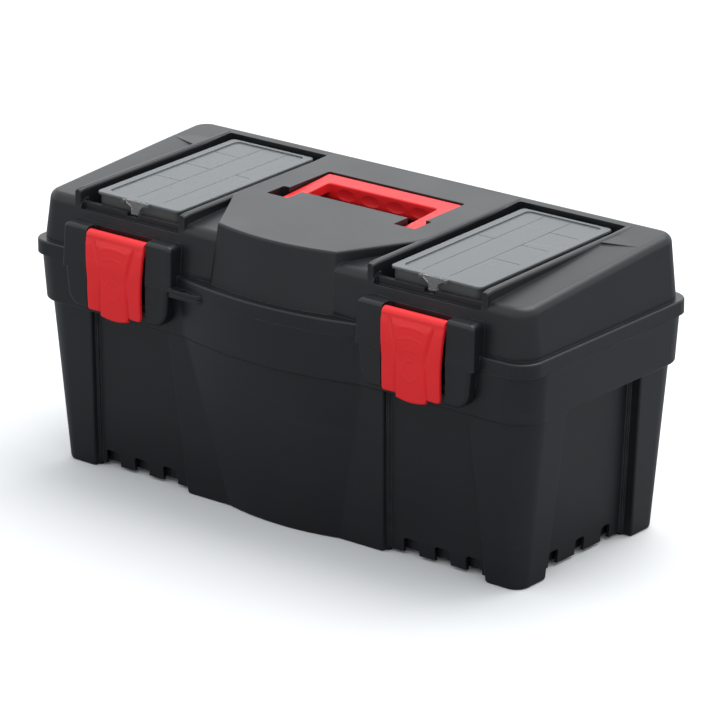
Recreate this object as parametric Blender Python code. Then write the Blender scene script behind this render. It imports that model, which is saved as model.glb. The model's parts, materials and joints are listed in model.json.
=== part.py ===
"""Plastic toolbox with a hinged lid, two lid organizers, two latches and a lift-out tray.

Standalone Blender 4.5 script, metres, +Z up. X runs along the box, the front with the
latches faces -Y, and the origin is under the middle of the box, on the ground.
"""
import math

import bmesh
import bpy
from mathutils import Matrix, Vector

MM = 0.001

# ---- driving dimensions (millimetres) -------------------------------------------------
LENGTH = 550.0            # over the band at the ends
BODY_DEPTH = 237.0        # over the flat front and back of the band

BAND_BOTTOM = 154.0       # underside of the proud band round the tub
SEAM = 196.0              # top of the tub, where the lid starts
LEDGE = 209.0             # top of the lid's rim
GAP = 0.4                 # between pieces that only touch

WALL = 2.6                # moulded wall thickness
BAND_OVERHANG = 6.0       # band in front of the tub wall just under it
DRAFT = 14.0              # lean of the tub wall from the band down to the feet

BULGE_HALF = (61.0, 98.0)      # half width of the bowed front: feet, band
BULGE_OUT = (8.0, 14.5)        # how far the bow stands out: feet, band
SECTION_HALF = (109.5, 120.0)  # half width of the proud middle section: feet, band
POST_IN = (219.0, 208.0)       # where the corner posts begin along X: feet, band
PANEL_DEPTH = 7.0              # front and back panels behind the posts
END_PANEL_DEPTH = 11.0         # end panels behind the posts
END_POST_IN = (62.0, 52.0)     # where the end panels begin along Y: feet, band
CORNER_R = (16.0, 34.0)        # plan corner radius: feet, band
RIM_CORNER_R = 24.0
CREASE_Y, CREASE_Z = END_POST_IN[1], 263.3   # where the lid's end slopes turn flatter

LATCH_CENTRE = 164.0
LATCH_WIDTH = 66.0
LATCH_NOTCH = 68.0
BRACKET_HALF = 62.0
BRACKET_FACE = -129.0
BRACKET_TOP = 236.0
BRACKET_BOTTOM = 162.0
LATCH_AXIS = (-124.0, 229.5)   # y, z of the latch's pivot
LATCH_ROLL_R = 5.2
TRUNNION_R = 2.2

PADLOCK_HOLES = (((-90.0, -124.4), 3.2), ((-79.0, -126.2), 1.5))   # centre and radius

HINGE_CENTRE = 165.0
HINGE_AXIS = (126.8, SEAM + 0.2)
HINGE_R = 6.7
HINGE_PIN_R = 2.0

ORG_CENTRE = 163.75
ORG_FRONT, ORG_BACK = -98.7, 88.3
ORG_LID_HALF = 47.75
ORG_LID_T = 2.4
ORG_TOP = (259.8, 263.2)       # organizer lid's top at its front and back edge
POCKET_HALF = 56.3
POCKET_FRONT, POCKET_BACK = -100.5, 94.5
POCKET_FLOOR = 236.0
RAIL_WIDTH = 7.0
RAIL_FRONT = -109.0
SHELF_TOP = 250.0
ORG_HINGE = (87.0, 258.3)
CLIP_AXIS = (-100.6, 258.9)
CLIP_NOTCH_HALF = 6.0
CLIP_NOTCH_FRONT, CLIP_NOTCH_FLOOR = -108.6, 246.5   # room for the clip's tip as it swings out

HANDLE_HALF = 74.0
HANDLE_ARM = 13.5
HANDLE_AXIS = (-9.5, 254.5)
HANDLE_BACK = 56.5
GRIP_DEPTH = 23.0
WELL_FLOOR = 238.0

TRAY_STEP = 156.5          # step inside the tub that the tray's rim sits on


# ---- small building tools ---------------------------------------------------------------
def blend(pair, t):
    """Value between the feet (t = 0) and the band (t = 1)."""
    return pair[0] + (pair[1] - pair[0]) * t


def mesh_object(name, verts, faces):
    """New object from millimetre vertices, with its faces turned outwards."""
    mesh = bpy.data.meshes.new(name)
    mesh.from_pydata([tuple(c * MM for c in v) for v in verts], [], faces)
    bm = bmesh.new()
    bm.from_mesh(mesh)
    bmesh.ops.remove_doubles(bm, verts=bm.verts, dist=1e-6)
    bmesh.ops.recalc_face_normals(bm, faces=bm.faces)
    bm.to_mesh(mesh)
    bm.free()
    obj = bpy.data.objects.new(name, mesh)
    bpy.context.scene.collection.objects.link(obj)
    return obj


def loft(name, rings, start_caps=None, end_caps=None):
    """Closed solid through rings of equal length; a cap is one face unless index lists are given."""
    count = len(rings[0])
    verts = [v for ring in rings for v in ring]
    faces = []
    for level in range(len(rings) - 1):
        low, high = level * count, (level + 1) * count
        for i in range(count):
            j = (i + 1) % count
            faces.append((low + i, low + j, high + j, high + i))
    top = (len(rings) - 1) * count
    for cap in start_caps or [range(count)]:
        faces.append(tuple(cap))
    for cap in end_caps or [range(count)]:
        faces.append(tuple(top + i for i in cap))
    return mesh_object(name, verts, faces)


def box(name, x, y, z):
    """Box between two values on each axis."""
    ring = [(x[0], y[0]), (x[1], y[0]), (x[1], y[1]), (x[0], y[1])]
    return prism_z(name, ring, z[0], z[1])


def prism_z(name, outline, z0, z1):
    """Upright prism over an XY outline; z0 and z1 are heights or functions of (x, y)."""
    low = z0 if callable(z0) else (lambda x, y: z0)
    high = z1 if callable(z1) else (lambda x, y: z1)
    return loft(name, [[(x, y, low(x, y)) for x, y in outline],
                       [(x, y, high(x, y)) for x, y in outline]])


def prism_x(name, outline, x0, x1):
    """Prism along X over a YZ outline."""
    return loft(name, [[(x0, y, z) for y, z in outline], [(x1, y, z) for y, z in outline]])


def rod(name, x0, x1, centre, radius, sides=16):
    """Round bar along X about the (y, z) centre."""
    return prism_x(name, circle(centre, radius, sides), x0, x1)


def circle(centre, radius, sides):
    """Points of a circle, turned half a step so that it has a flat side up."""
    turn = math.pi / sides
    return [(centre[0] + radius * math.cos(turn + 2 * math.pi * i / sides),
             centre[1] + radius * math.sin(turn + 2 * math.pi * i / sides)) for i in range(sides)]


def arc(centre, radius, start, end, steps):
    """Points on an arc between two angles in degrees, ends included."""
    points = []
    for i in range(steps + 1):
        angle = math.radians(start + (end - start) * i / steps)
        points.append((centre[0] + radius * math.cos(angle), centre[1] + radius * math.sin(angle)))
    return points


def rounded_rect(x0, x1, y0, y1, radius, steps=4):
    """Rectangle outline with round corners, counter-clockwise."""
    corners = [((x1 - radius, y0 + radius), -90), ((x1 - radius, y1 - radius), 0),
               ((x0 + radius, y1 - radius), 90), ((x0 + radius, y0 + radius), 180)]
    return [p for centre, start in corners for p in arc(centre, radius, start, start + 90, steps)]


def combine(target, other, operation):
    """Boolean two closed objects, keep the result in target and remove the other."""
    modifier = target.modifiers.new(operation.title(), "BOOLEAN")
    modifier.operation = operation
    modifier.solver = "EXACT"
    modifier.object = other
    bpy.context.view_layer.update()
    depsgraph = bpy.context.evaluated_depsgraph_get()
    mesh = bpy.data.meshes.new_from_object(target.evaluated_get(depsgraph))
    target.modifiers.clear()
    target.data = mesh
    bpy.data.objects.remove(other)
    return target


def join(target, *others):
    """Union of the target with each other object."""
    for other in others:
        combine(target, other, "UNION")
    return target


def cut(target, *others):
    """The target with each other object cut away."""
    for other in others:
        combine(target, other, "DIFFERENCE")
    return target


def offset_outline(points, distance):
    """Outline moved inwards by the distance, with mitred corners."""
    moved = []
    count = len(points)
    for i, point in enumerate(points):
        before = Vector(point) - Vector(points[i - 1])
        after = Vector(points[(i + 1) % count]) - Vector(point)
        normal_a = Vector((-before.y, before.x)).normalized()
        normal_b = Vector((-after.y, after.x)).normalized()
        bisector = (normal_a + normal_b).normalized()
        reach = distance / max(0.5, bisector.dot(normal_a))
        moved.append((point[0] + bisector.x * reach, point[1] + bisector.y * reach))
    return moved


def at_height(outline, z):
    """Ring of 3-D points from an outline and a height or a function of (x, y)."""
    height = z if callable(z) else (lambda x, y: z)
    return [(x, y, height(x, y)) for x, y in outline]


def finish(obj, name, material, pivot=None):
    """Name, dress and smooth a piece, and put its origin on its pivot point."""
    obj.name = name
    obj.data.name = name
    obj.data.materials.clear()
    obj.data.materials.append(material)
    bm = bmesh.new()
    bm.from_mesh(obj.data)
    bmesh.ops.remove_doubles(bm, verts=bm.verts, dist=2e-5)
    bmesh.ops.dissolve_degenerate(bm, edges=bm.edges, dist=1e-6)
    bmesh.ops.triangulate(bm, faces=bm.faces)
    bm.to_mesh(obj.data)
    bm.free()
    for polygon in obj.data.polygons:
        polygon.material_index = 0
    obj.data.shade_smooth()
    obj.data.set_sharp_from_angle(angle=math.radians(35))
    if pivot:
        place = Vector(pivot) * MM
        obj.data.transform(Matrix.Translation(-place))
        obj.location = place
    return obj


def material(name, color, roughness, alpha=1.0):
    """Plain Principled material."""
    made = bpy.data.materials.new(name)
    made.use_nodes = True
    shader = made.node_tree.nodes["Principled BSDF"]
    shader.inputs["Base Color"].default_value = (*color, 1.0)
    shader.inputs["Roughness"].default_value = roughness
    shader.inputs["Metallic"].default_value = 0.0
    shader.inputs["Alpha"].default_value = alpha
    return made


# ---- shapes shared by the tub and the lid -------------------------------------------------
def box_outline(half_x, half_y, radius, t, panel, end_panel, bulge_out):
    """Plan outline of the box, counter-clockwise from the front left corner.

    t runs from 0 at the feet to 1 at the band, panel and end_panel are the depths of the
    recessed panels, and bulge_out is how far the middle of the front is bowed.
    """
    section, post = blend(SECTION_HALF, t), blend(POST_IN, t)
    bow, end_post = blend(BULGE_HALF, t), blend(END_POST_IN, t)
    lean = 0.8 if panel else 0.2
    points = arc((-half_x + radius, -half_y + radius), radius, 180, 270, 6)
    points += [(-post, -half_y), (-post + lean, -half_y + panel),
               (-section - lean, -half_y + panel), (-section, -half_y)]
    bow_radius = (bow * bow + bulge_out * bulge_out) / (2 * bulge_out) if bulge_out else 0
    for i in range(13):
        x = -bow + 2 * bow * i / 12
        sag = math.sqrt(bow_radius ** 2 - x * x) - (bow_radius - bulge_out) if bulge_out else 0
        points.append((x, -half_y - sag))
    points += [(section, -half_y), (section + lean, -half_y + panel),
               (post - lean, -half_y + panel), (post, -half_y)]
    points += arc((half_x - radius, -half_y + radius), radius, 270, 360, 6)
    points += [(half_x, -end_post), (half_x - end_panel, -end_post + lean),
               (half_x - end_panel, end_post - lean), (half_x, end_post)]
    points += arc((half_x - radius, half_y - radius), radius, 0, 90, 6)
    points += [(post, half_y), (post - lean, half_y - panel),
               (section + lean, half_y - panel), (section, half_y),
               (-section, half_y), (-section - lean, half_y - panel),
               (-post + lean, half_y - panel), (-post, half_y)]
    points += arc((-half_x + radius, half_y - radius), radius, 90, 180, 6)
    points += [(-half_x, end_post), (-half_x + end_panel, end_post - lean),
               (-half_x + end_panel, -end_post + lean), (-half_x, -end_post)]
    return points


def band_outline(inset=0.0, radius=CORNER_R[1]):
    """Outline of the band, moved inwards by the inset."""
    outline = box_outline(LENGTH / 2, BODY_DEPTH / 2, radius, 1.0, 0.0, 0.0, BULGE_OUT[1])
    return offset_outline(outline, inset) if inset else outline


def tub_outline(z, inset=0.0):
    """Outline of the tub wall at a height below the band, moved inwards by the inset."""
    t = z / BAND_BOTTOM
    set_in = BAND_OVERHANG + DRAFT * (1 - t)
    outline = box_outline(LENGTH / 2 - set_in, BODY_DEPTH / 2 - set_in, blend(CORNER_R, t),
                          t, PANEL_DEPTH, END_PANEL_DEPTH, blend(BULGE_OUT, t))
    return offset_outline(outline, inset) if inset else outline


def hinge_barrel(name, x0, x1, web_low, web_high):
    """Round barrel about the lid's hinge axis with a web to the back of the box."""
    y, z = HINGE_AXIS
    barrel = rod(name, x0, x1, HINGE_AXIS, HINGE_R, 20)
    web = box("web", (x0, x1), (BODY_DEPTH / 2 - 1.5, y), (z + web_low, z + web_high))
    return join(barrel, web)


def hinge_hole():
    """Long cutter through both hinges' barrels."""
    return [rod("hole", side * HINGE_CENTRE - 45, side * HINGE_CENTRE + 45, HINGE_AXIS,
                HINGE_PIN_R + 0.4, 16) for side in (-1, 1)]


def bracket_outline(z0, z1):
    """Front outline (x, z) of one latch bracket's block, about its centre."""
    half, kink = BRACKET_HALF, SEAM + 2
    if z0 >= SEAM:
        return [(-half, z0), (half, z0), (half, kink + 2), (half - 4, z1 - 7), (half - 10, z1),
                (-half + 10, z1), (-half + 4, z1 - 7), (-half, kink + 2)]
    return [(-half + 12, z0), (half - 12, z0), (half - 4, z0 + 7), (half - 1, z1),
            (-half + 1, z1), (-half + 4, z0 + 7)]


def bracket_block(side, z0, z1, back):
    """Half of a latch bracket with its round front edge, before the latch's notch is cut."""
    outline = [(side * LATCH_CENTRE + x, z) for x, z in bracket_outline(z0, z1)]
    steps = [(back, 0.0), (BRACKET_FACE + 3.0, 0.0), (BRACKET_FACE + 0.9, 0.9), (BRACKET_FACE, 3.0)]
    rings = []
    centre_z = (z0 + z1) / 2
    for y, inset in steps:
        ring = []
        for x, z in outline:
            dx = x - side * LATCH_CENTRE
            scale_x = 1 - inset / BRACKET_HALF
            flush = (z0 >= SEAM and z == z0) or (z0 < SEAM and z == z1)
            scale_z = 1 if flush else 1 - inset / (abs(z1 - z0) / 2)
            ring.append((side * LATCH_CENTRE + dx * scale_x, y, centre_z + (z - centre_z) * scale_z))
        rings.append(ring)
    return loft("bracket", rings)


# ---- the tub -------------------------------------------------------------------------------
def notch_cutters():
    """Openings between the teeth at the foot of every recessed panel, and the panels' raised edge."""
    cutters = []
    half_y, half_x = BODY_DEPTH / 2 - 20, LENGTH / 2 - 20
    tooth_z, notch_z, notch_w = 3.0, 16.5, 17.0
    for front in (-1, 1):
        y_mid = front * (half_y - PANEL_DEPTH)
        for side in (-1, 1):
            inner, outer = SECTION_HALF[0] + 1.6, POST_IN[0] - 1.6
            cutters.append(box("edge", sorted((side * inner, side * outer)),
                               (y_mid - 6, y_mid + 6), (-5, tooth_z)))
            for k in range(3):
                x = side * (inner + 21 + k * 33.5)
                cutters.append(notch(x, notch_w, y_mid, notch_z, along_x=True))
    for side in (-1, 1):
        x_mid = side * (half_x - END_PANEL_DEPTH)
        reach = END_POST_IN[0] - 1.8
        cutters.append(box("edge", (x_mid - 6, x_mid + 6), (-reach, reach), (-5, tooth_z)))
        for k in (-1, 0, 1):
            cutters.append(notch(k * 37.5, 13.0, x_mid, notch_z, along_x=False))
    return cutters


def notch(place, width, wall, top, along_x):
    """Cutter for one notch: a gate with two round upper corners through the skirt."""
    half = width / 2
    gate = [(place - half, -6), (place + half, -6)]
    gate += arc((place + half - 4, top - 4), 4, 0, 90, 3) + arc((place - half + 4, top - 4), 4, 90, 180, 3)
    reach = 3.6
    if along_x:
        rings = [[(u, wall - reach, z) for u, z in gate], [(u, wall + reach, z) for u, z in gate]]
    else:
        rings = [[(wall - reach, u, z) for u, z in gate], [(wall + reach, u, z) for u, z in gate]]
    return loft("notch", rings)


def padlock_tab(z0, z1):
    """Ear beside the left latch bracket with a padlock's hole and a small seal hole."""
    x0, x1 = -LATCH_CENTRE + BRACKET_HALF - 2, -68.0
    ear = prism_z("ear", rounded_rect(x0, x1, -128.5, -112.0, 3.0, 3), z0, z1)
    for place, radius in PADLOCK_HOLES:
        cut(ear, prism_z("hole", circle(place, radius, 14), z0 - 1, z1 + 1))
    return ear


def make_tub(dressed):
    """The open tub: skirt with feet, basin, panelled wall, band, latch catches and hinge barrels."""
    basin = WALL + 5.0
    floor_low, floor_high, shelf_low, shelf_high = 4.6, 7.2, 26.0, 28.6
    rings = [
        at_height(tub_outline(shelf_high, basin + WALL), floor_high),
        at_height(tub_outline(shelf_high, basin + WALL), shelf_high),
        at_height(tub_outline(shelf_high, WALL), shelf_high),
        at_height(tub_outline(BAND_BOTTOM - 1, WALL), TRAY_STEP),
        at_height(band_outline(WALL), TRAY_STEP),
        at_height(band_outline(WALL), SEAM),
        at_height(band_outline(0.0), SEAM),
        at_height(band_outline(0.0), BAND_BOTTOM + 4),
        at_height(band_outline(1.0), BAND_BOTTOM + 1),
        at_height(band_outline(3.0), BAND_BOTTOM - 0.5),
        at_height(tub_outline(BAND_BOTTOM - 2.0), BAND_BOTTOM - 2.0),
        at_height(tub_outline(2.0), 2.0),
        at_height(tub_outline(0.0, 1.2), 0.0),
        at_height(tub_outline(0.0, WALL + 0.6), 0.0),
        at_height(tub_outline(shelf_low, WALL), shelf_low),
        at_height(tub_outline(shelf_low, basin), shelf_low),
        at_height(tub_outline(shelf_low, basin), floor_low),
    ]
    tub = loft("tub", rings)
    cut(tub, *notch_cutters())
    half_notch = LATCH_NOTCH / 2
    for side in (-1, 1):
        block = bracket_block(side, BRACKET_BOTTOM, SEAM, -117.5)
        mid = side * LATCH_CENTRE
        cut(block, box("notch", (mid - half_notch, mid + half_notch), (-140, -118.4), (150, 210)))
        catch = prism_x("catch", [(-117.5, 166), (-123.0, 168.5), (-124.4, 170), (-124.4, 174.5),
                                  (-117.5, 177)], mid - half_notch, mid + half_notch)
        join(tub, block, catch)
        join(tub, hinge_barrel("barrel", side * HINGE_CENTRE - 15, side * HINGE_CENTRE + 15, -6.5, -0.6))
    join(tub, padlock_tab(SEAM - 3.4, SEAM))
    cut(tub, *hinge_hole())
    return finish(tub, "tub_body", dressed)


# ---- the lid ---------------------------------------------------------------------------------
def slope_top(x, y):
    """Height of the lid's outer ends: a slope up to the crease, then a flatter back."""
    pitch = 0.07 if y < CREASE_Y else 0.06
    return CREASE_Z + (y - CREASE_Y) * pitch


def plateau_top(x, y):
    """Height of the flat middle of the lid."""
    return 262.5 + (y + 108.0) * 0.02


def rail_top(x, y):
    """Height of the rails beside the organizers."""
    return 262.4 + (y - RAIL_FRONT) * 0.019


def lid_wall_outline(inset):
    """Plain outline of the lid's wall above its rim."""
    half_x, half_y = LENGTH / 2 - 5.0, BODY_DEPTH / 2 - 5.0
    outline = box_outline(half_x, half_y, 28.0, 1.0, 0.0, 0.0, 0.0)
    return offset_outline(outline, inset) if inset else outline


def lid_bowl(name, inset, bottom):
    """Solid under the lid's rounded top, moved inwards by the inset."""
    draft, edge = 0.085, 10.0
    levels = [(bottom, inset), (LEDGE + 4.0, inset)]
    rings = [at_height(lid_wall_outline(i), z) for z, i in levels]
    for step in range(6):
        angle = math.radians(90 * step / 5)
        lean = (slope_top(0, 0) - edge - LEDGE) * draft
        inwards = inset + lean + edge * (1 - math.cos(angle))
        drop = edge * (1 - math.sin(angle)) + inset
        outline = lid_wall_outline(inwards)
        rings.append([(x, y, slope_top(x, y) - drop) for x, y in outline])
    last = rings[-1]
    front = [i for i, point in enumerate(last) if point[1] < CREASE_Y + 0.01]
    back = [i for i, point in enumerate(last) if point[1] > CREASE_Y - 0.01]
    return loft(name, rings, end_caps=[front, back])


def plateau_outline(inset):
    """Plan of the raised middle: bowed front, chamfered shoulders, straight to the back."""
    front, bow_half, bow_out = -107.7, 64.0, 9.0
    radius = (bow_half ** 2 + bow_out ** 2) / (2 * bow_out)
    points = []
    for i in range(11):
        x = -bow_half + 2 * bow_half * i / 10
        points.append((x, front - (math.sqrt(radius ** 2 - x * x) - (radius - bow_out))))
    points += [(97.0, -51.0), (106.0, -38.0), (106.0, 100.0), (-106.0, 100.0), (-106.0, -38.0), (-97.0, -51.0)]
    return offset_outline(points, inset) if inset else points


def plateau_block(name, inset, bottom):
    """Raised middle of the lid; its front wall leans out towards the ledge."""
    top = at_height(plateau_outline(inset), lambda x, y: plateau_top(x, y) - inset)
    low = []
    for x, y in plateau_outline(inset):
        in_front = y < -60
        low.append((x * (1.06 if in_front else 1.0), y - (9.0 if in_front else 0.0), bottom))
    return loft(name, [low, top])


def pocket_blocks(grow):
    """Organizer pockets with their front step, clip notches, handle well and pivot slots, all grown by the amount."""
    blocks = []
    front, back = POCKET_FRONT - grow, POCKET_BACK + grow
    floor, step = POCKET_FLOOR - grow, SHELF_TOP - grow
    profile = [(front, floor), (back, floor), (back, 290), (-122, 290), (-122, step), (front, step)]
    for side in (-1, 1):
        mid = side * ORG_CENTRE
        half, half_notch = POCKET_HALF + grow, CLIP_NOTCH_HALF + grow
        blocks.append(prism_x("pocket", profile, mid - half, mid + half))
        blocks.append(box("clip", (mid - half_notch, mid + half_notch), (CLIP_NOTCH_FRONT - grow, POCKET_FRONT + 0.5),
                          (CLIP_NOTCH_FLOOR - grow, 290)))
        slot = sorted((side * (58.5 - grow), side * (82.0 + grow)))
        blocks.append(box("slot", slot, (-20.5 - grow, 3 + grow), (246.0 - grow, 290)))
    well = HANDLE_HALF + 1.6 + grow
    blocks.append(box("well", (-well, well), (-0.5 - grow, HANDLE_BACK + 1.8 + grow), (WELL_FLOOR - grow, 290)))
    return blocks


def make_lid(dressed):
    """Lid shell: rim, walls, plateau, organizer pockets, handle well, latch brackets, hinge barrels."""
    outer = loft("lid", [at_height(band_outline(0.0, RIM_CORNER_R), SEAM + GAP),
                         at_height(band_outline(0.0, RIM_CORNER_R), LEDGE - 1.2),
                         at_height(band_outline(1.2, RIM_CORNER_R), LEDGE)])
    join(outer, lid_bowl("bowl", 0.0, SEAM + 3), plateau_block("plateau", 0.0, SEAM + 3))
    for side in (-1, 1):
        mid = side * ORG_CENTRE
        for edge in (-1, 1):
            near = mid + edge * POCKET_HALF
            far = near + edge * RAIL_WIDTH
            lane = sorted((near, far))
            outline = [(lane[0], RAIL_FRONT), (lane[1], RAIL_FRONT), (lane[1], 96.0), (lane[0], 96.0)]
            join(outer, prism_z("rail", outline, SEAM + 6, rail_top))
        lip = POCKET_HALF + 0.5
        join(outer, box("lip", (mid - lip, mid + lip), (-105.0, POCKET_FRONT + 1), (SEAM + 6, SHELF_TOP + 1)))
        join(outer, bracket_block(side, SEAM + 0.5, BRACKET_TOP, -108.0))
    join(outer, padlock_tab(SEAM + GAP, SEAM + 3.8))
    cut(outer, *pocket_blocks(0.0))
    cavity = join(lid_bowl("cavity", WALL, SEAM - 10), plateau_block("rise", WALL, SEAM - 10))
    cut(cavity, *pocket_blocks(WALL))
    cut(outer, cavity)
    half_notch = LATCH_NOTCH / 2
    for side in (-1, 1):
        mid = side * LATCH_CENTRE
        cut(outer, box("notch", (mid - half_notch, mid + half_notch), (-145, -117.6), (190, 260)))
        cut(outer, rod("socket", mid - half_notch - 4, mid + half_notch + 4, LATCH_AXIS, TRUNNION_R + 0.4, 16))
        cut(outer, rod("pivot", *sorted((side * 81.0, side * 86.0)), HANDLE_AXIS, 3.4, 16))
        for edge in (-1, 1):
            x0, x1 = sorted((side * HINGE_CENTRE + edge * 15.6, side * HINGE_CENTRE + edge * 30))
            join(outer, hinge_barrel("barrel", x0, x1, 0.3, 6.5))
    cut(outer, *hinge_hole())
    return finish(outer, "lid_shell", dressed)


def make_hinge_pins(dressed):
    """Steel pins through the two hinges, each with a small head."""
    for side, word in ((-1, "left"), (1, "right")):
        mid = side * HINGE_CENTRE
        pin = rod("pin", mid - 31, mid + 31, HINGE_AXIS, HINGE_PIN_R, 16)
        head = rod("head", mid - 32.6, mid - 30.6, HINGE_AXIS, 3.4, 16)
        finish(join(pin, head), "hinge_pin_" + word, dressed)


# ---- latches and handle --------------------------------------------------------------------------
def make_latch(side, word, dressed):
    """Latch: a roll with two trunnions, a bowed plate and a catch rib at its lower end."""
    y, z = LATCH_AXIS
    mid, half = side * LATCH_CENTRE, LATCH_WIDTH / 2
    front = [(y - 5.2, z), (-130.6, 222.0), (-132.4, 212.0), (-133.3, 198.0), (-133.4, 184.0), (-132.6, 170.0),
             (-131.6, 163.0)]
    back = [(-128.6, 163.0), (-125.0, 164.6), (-125.0, 165.6), (-129.4, 168.0), (-130.3, 184.0), (-130.2, 198.0),
            (-129.4, 212.0), (-127.4, 221.0), (y, z - 3.0), (y + 1.0, z)]
    plate = prism_x("latch", front + back, mid - half, mid + half)
    roll = rod("roll", mid - half, mid + half, LATCH_AXIS, LATCH_ROLL_R, 20)
    trunnions = rod("trunnions", mid - half - 4, mid + half + 4, LATCH_AXIS, TRUNNION_R, 16)
    tongue = box("tongue", (mid - 17, mid + 17), (-131.4, -129.0), (158.0, 166.0))
    join(plate, roll, trunnions, tongue)
    return finish(plate, "latch_" + word, dressed, (mid, y, z))


def make_handle(dressed):
    """Bail handle lying in the lid's well, with a deep grip and a trunnion on each arm."""
    y, z = HANDLE_AXIS
    inner = HANDLE_HALF - HANDLE_ARM
    arm_side = [(y - 4.5, z - 3.0), (y + 4.0, z - 4.5), (HANDLE_BACK - 2, 254.0), (HANDLE_BACK, 256.0),
                (HANDLE_BACK, 264.0), (y + 10, 259.8), (y, z + 4.5), (y - 4.5, z + 3.0)]
    handle = None
    for side in (-1, 1):
        arm = prism_x("arm", arm_side, *sorted((side * inner, side * HANDLE_HALF)))
        pin = rod("trunnion", *sorted((side * (inner + 2), side * (HANDLE_HALF + 10.4))), HANDLE_AXIS, 3.0, 16)
        join(arm, pin)
        handle = join(handle, arm) if handle else arm
    grip_front = HANDLE_BACK - GRIP_DEPTH
    grip = [(grip_front + 3, 245.0), (HANDLE_BACK - 5, 245.0), (HANDLE_BACK, 250.0), (HANDLE_BACK, 264.0),
            (grip_front, 262.6), (grip_front, 249.0)]
    join(handle, prism_x("grip", grip, -HANDLE_HALF, HANDLE_HALF))
    return finish(handle, "carry_handle", dressed, (0, y, z))


# ---- organizers -------------------------------------------------------------------------------------
def org_top(y):
    """Top of the organizer lid at a place along Y; it rises gently to the back."""
    return ORG_TOP[0] + (y - ORG_FRONT) * (ORG_TOP[1] - ORG_TOP[0]) / (ORG_BACK - ORG_FRONT)


def org_seat(x, y):
    """Top edge of the organizer box, just under its lid."""
    return org_top(y) - ORG_LID_T - GAP


BOX_HALF = 46.0
BOX_FRONT, BOX_BACK = -97.4, 83.0
BOX_FLOOR = POCKET_FLOOR + GAP
BOX_WALL = 1.6
LANE_WALLS = (-20.3, 8.2)                        # walls between the three lanes, outwards from the centre
DIVIDERS = ((-1, 10.0), (1, -31.0), (1, 10.0), (1, 50.5))     # lane and Y of each removable divider


def make_organizer(side, word, dressed, clear, divider_dress):
    """One organizer: box with two lane walls, clear hinged lid, clip and four dividers."""
    mid = side * ORG_CENTRE
    outline = rounded_rect(mid - BOX_HALF, mid + BOX_HALF, BOX_FRONT, BOX_BACK, 6.0)
    inner = rounded_rect(mid - BOX_HALF + BOX_WALL, mid + BOX_HALF - BOX_WALL,
                         BOX_FRONT + BOX_WALL, BOX_BACK - BOX_WALL, 4.4)
    bin_ = prism_z("bin", outline, BOX_FLOOR, org_seat)
    cut(bin_, prism_z("room", inner, BOX_FLOOR + BOX_WALL, 290))
    for lane in (side * wall_x for wall_x in LANE_WALLS):
        wall = [(mid + lane - 0.6, BOX_FRONT + 1), (mid + lane + 0.6, BOX_FRONT + 1),
                (mid + lane + 0.6, BOX_BACK - 1), (mid + lane - 0.6, BOX_BACK - 1)]
        join(bin_, prism_z("lane", wall, BOX_FLOOR + 0.5, lambda x, y: org_seat(x, y) - 0.8))
    hy, hz = ORG_HINGE
    for tab in (-1, 1):
        centre = mid + tab * 28
        for edge in (-1, 1):
            lane = sorted((centre + edge * 6.5, centre + edge * 10.5))
            ear = join(rod("ear", *lane, ORG_HINGE, 2.0, 12),
                       box("foot", lane, (BOX_BACK - 1, hy), (hz - 2.0, hz + 1.4)))
            join(bin_, ear)
        join(bin_, rod("pin", centre - 8, centre + 8, ORG_HINGE, 0.9, 10))
    finish(bin_, "organizer_box_" + word, dressed)

    lid_outline = rounded_rect(mid - ORG_LID_HALF, mid + ORG_LID_HALF, ORG_FRONT, ORG_BACK, 8.0)
    cover = prism_z("cover", lid_outline, lambda x, y: org_top(y) - ORG_LID_T, lambda x, y: org_top(y))
    for tab in (-1, 1):
        centre = mid + tab * 28
        barrel = join(rod("barrel", centre - 6, centre + 6, ORG_HINGE, 2.1, 12),
                      box("tab", (centre - 6, centre + 6), (hy - 1.6, ORG_BACK - 0.2), (hz, org_top(ORG_BACK) - 1)))
        join(cover, barrel)
        cut(cover, rod("bore", centre - 7, centre + 7, ORG_HINGE, 1.3, 10))
    cy, cz = CLIP_AXIS
    for edge in (-1, 1):
        lane = sorted((mid + edge * 11.6, mid + edge * 14.6))
        join(cover, box("ear", lane, (cy - 1.6, ORG_FRONT + 1.5), (cz - 1.8, cz + 0.7)))
    cut(cover, rod("bore", mid - 14, mid + 14, CLIP_AXIS, 1.0, 10))
    finish(cover, "organizer_lid_" + word, clear, (mid, hy, hz))

    flare = [(-11.2, cz + 1.2), (-11.2, cz - 1.2), (-4.6, cz - 5.0), (-4.6, 247.4), (4.6, 247.4),
             (4.6, cz - 5.0), (11.2, cz - 1.2), (11.2, cz + 1.2)]
    clip = loft("clip", [[(mid + x, cy + 1.4, z) for x, z in flare], [(mid + x, cy - 0.9, z) for x, z in flare]])
    join(clip, rod("pin", mid - 13.6, mid + 13.6, CLIP_AXIS, 0.7, 10))
    finish(clip, "organizer_clip_" + word, clear, (mid, cy, cz))

    lanes = {-1: (-BOX_HALF + BOX_WALL, LANE_WALLS[0] - 0.6), 0: (LANE_WALLS[0] + 0.6, LANE_WALLS[1] - 0.6),
             1: (LANE_WALLS[1] + 0.6, BOX_HALF - BOX_WALL)}
    for number, (lane, y) in enumerate(DIVIDERS, 1):
        x0, x1 = sorted((mid + side * (lanes[lane][0] + 0.3), mid + side * (lanes[lane][1] - 0.3)))
        outline = [(x0, y - 0.6), (x1, y - 0.6), (x1, y + 0.6), (x0, y + 0.6)]
        plate = prism_z("divider", outline, BOX_FLOOR + BOX_WALL + 0.3, lambda x, y: org_seat(x, y) - 0.9)
        finish(plate, "organizer_divider_%s_%d" % (word, number), divider_dress)


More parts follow.
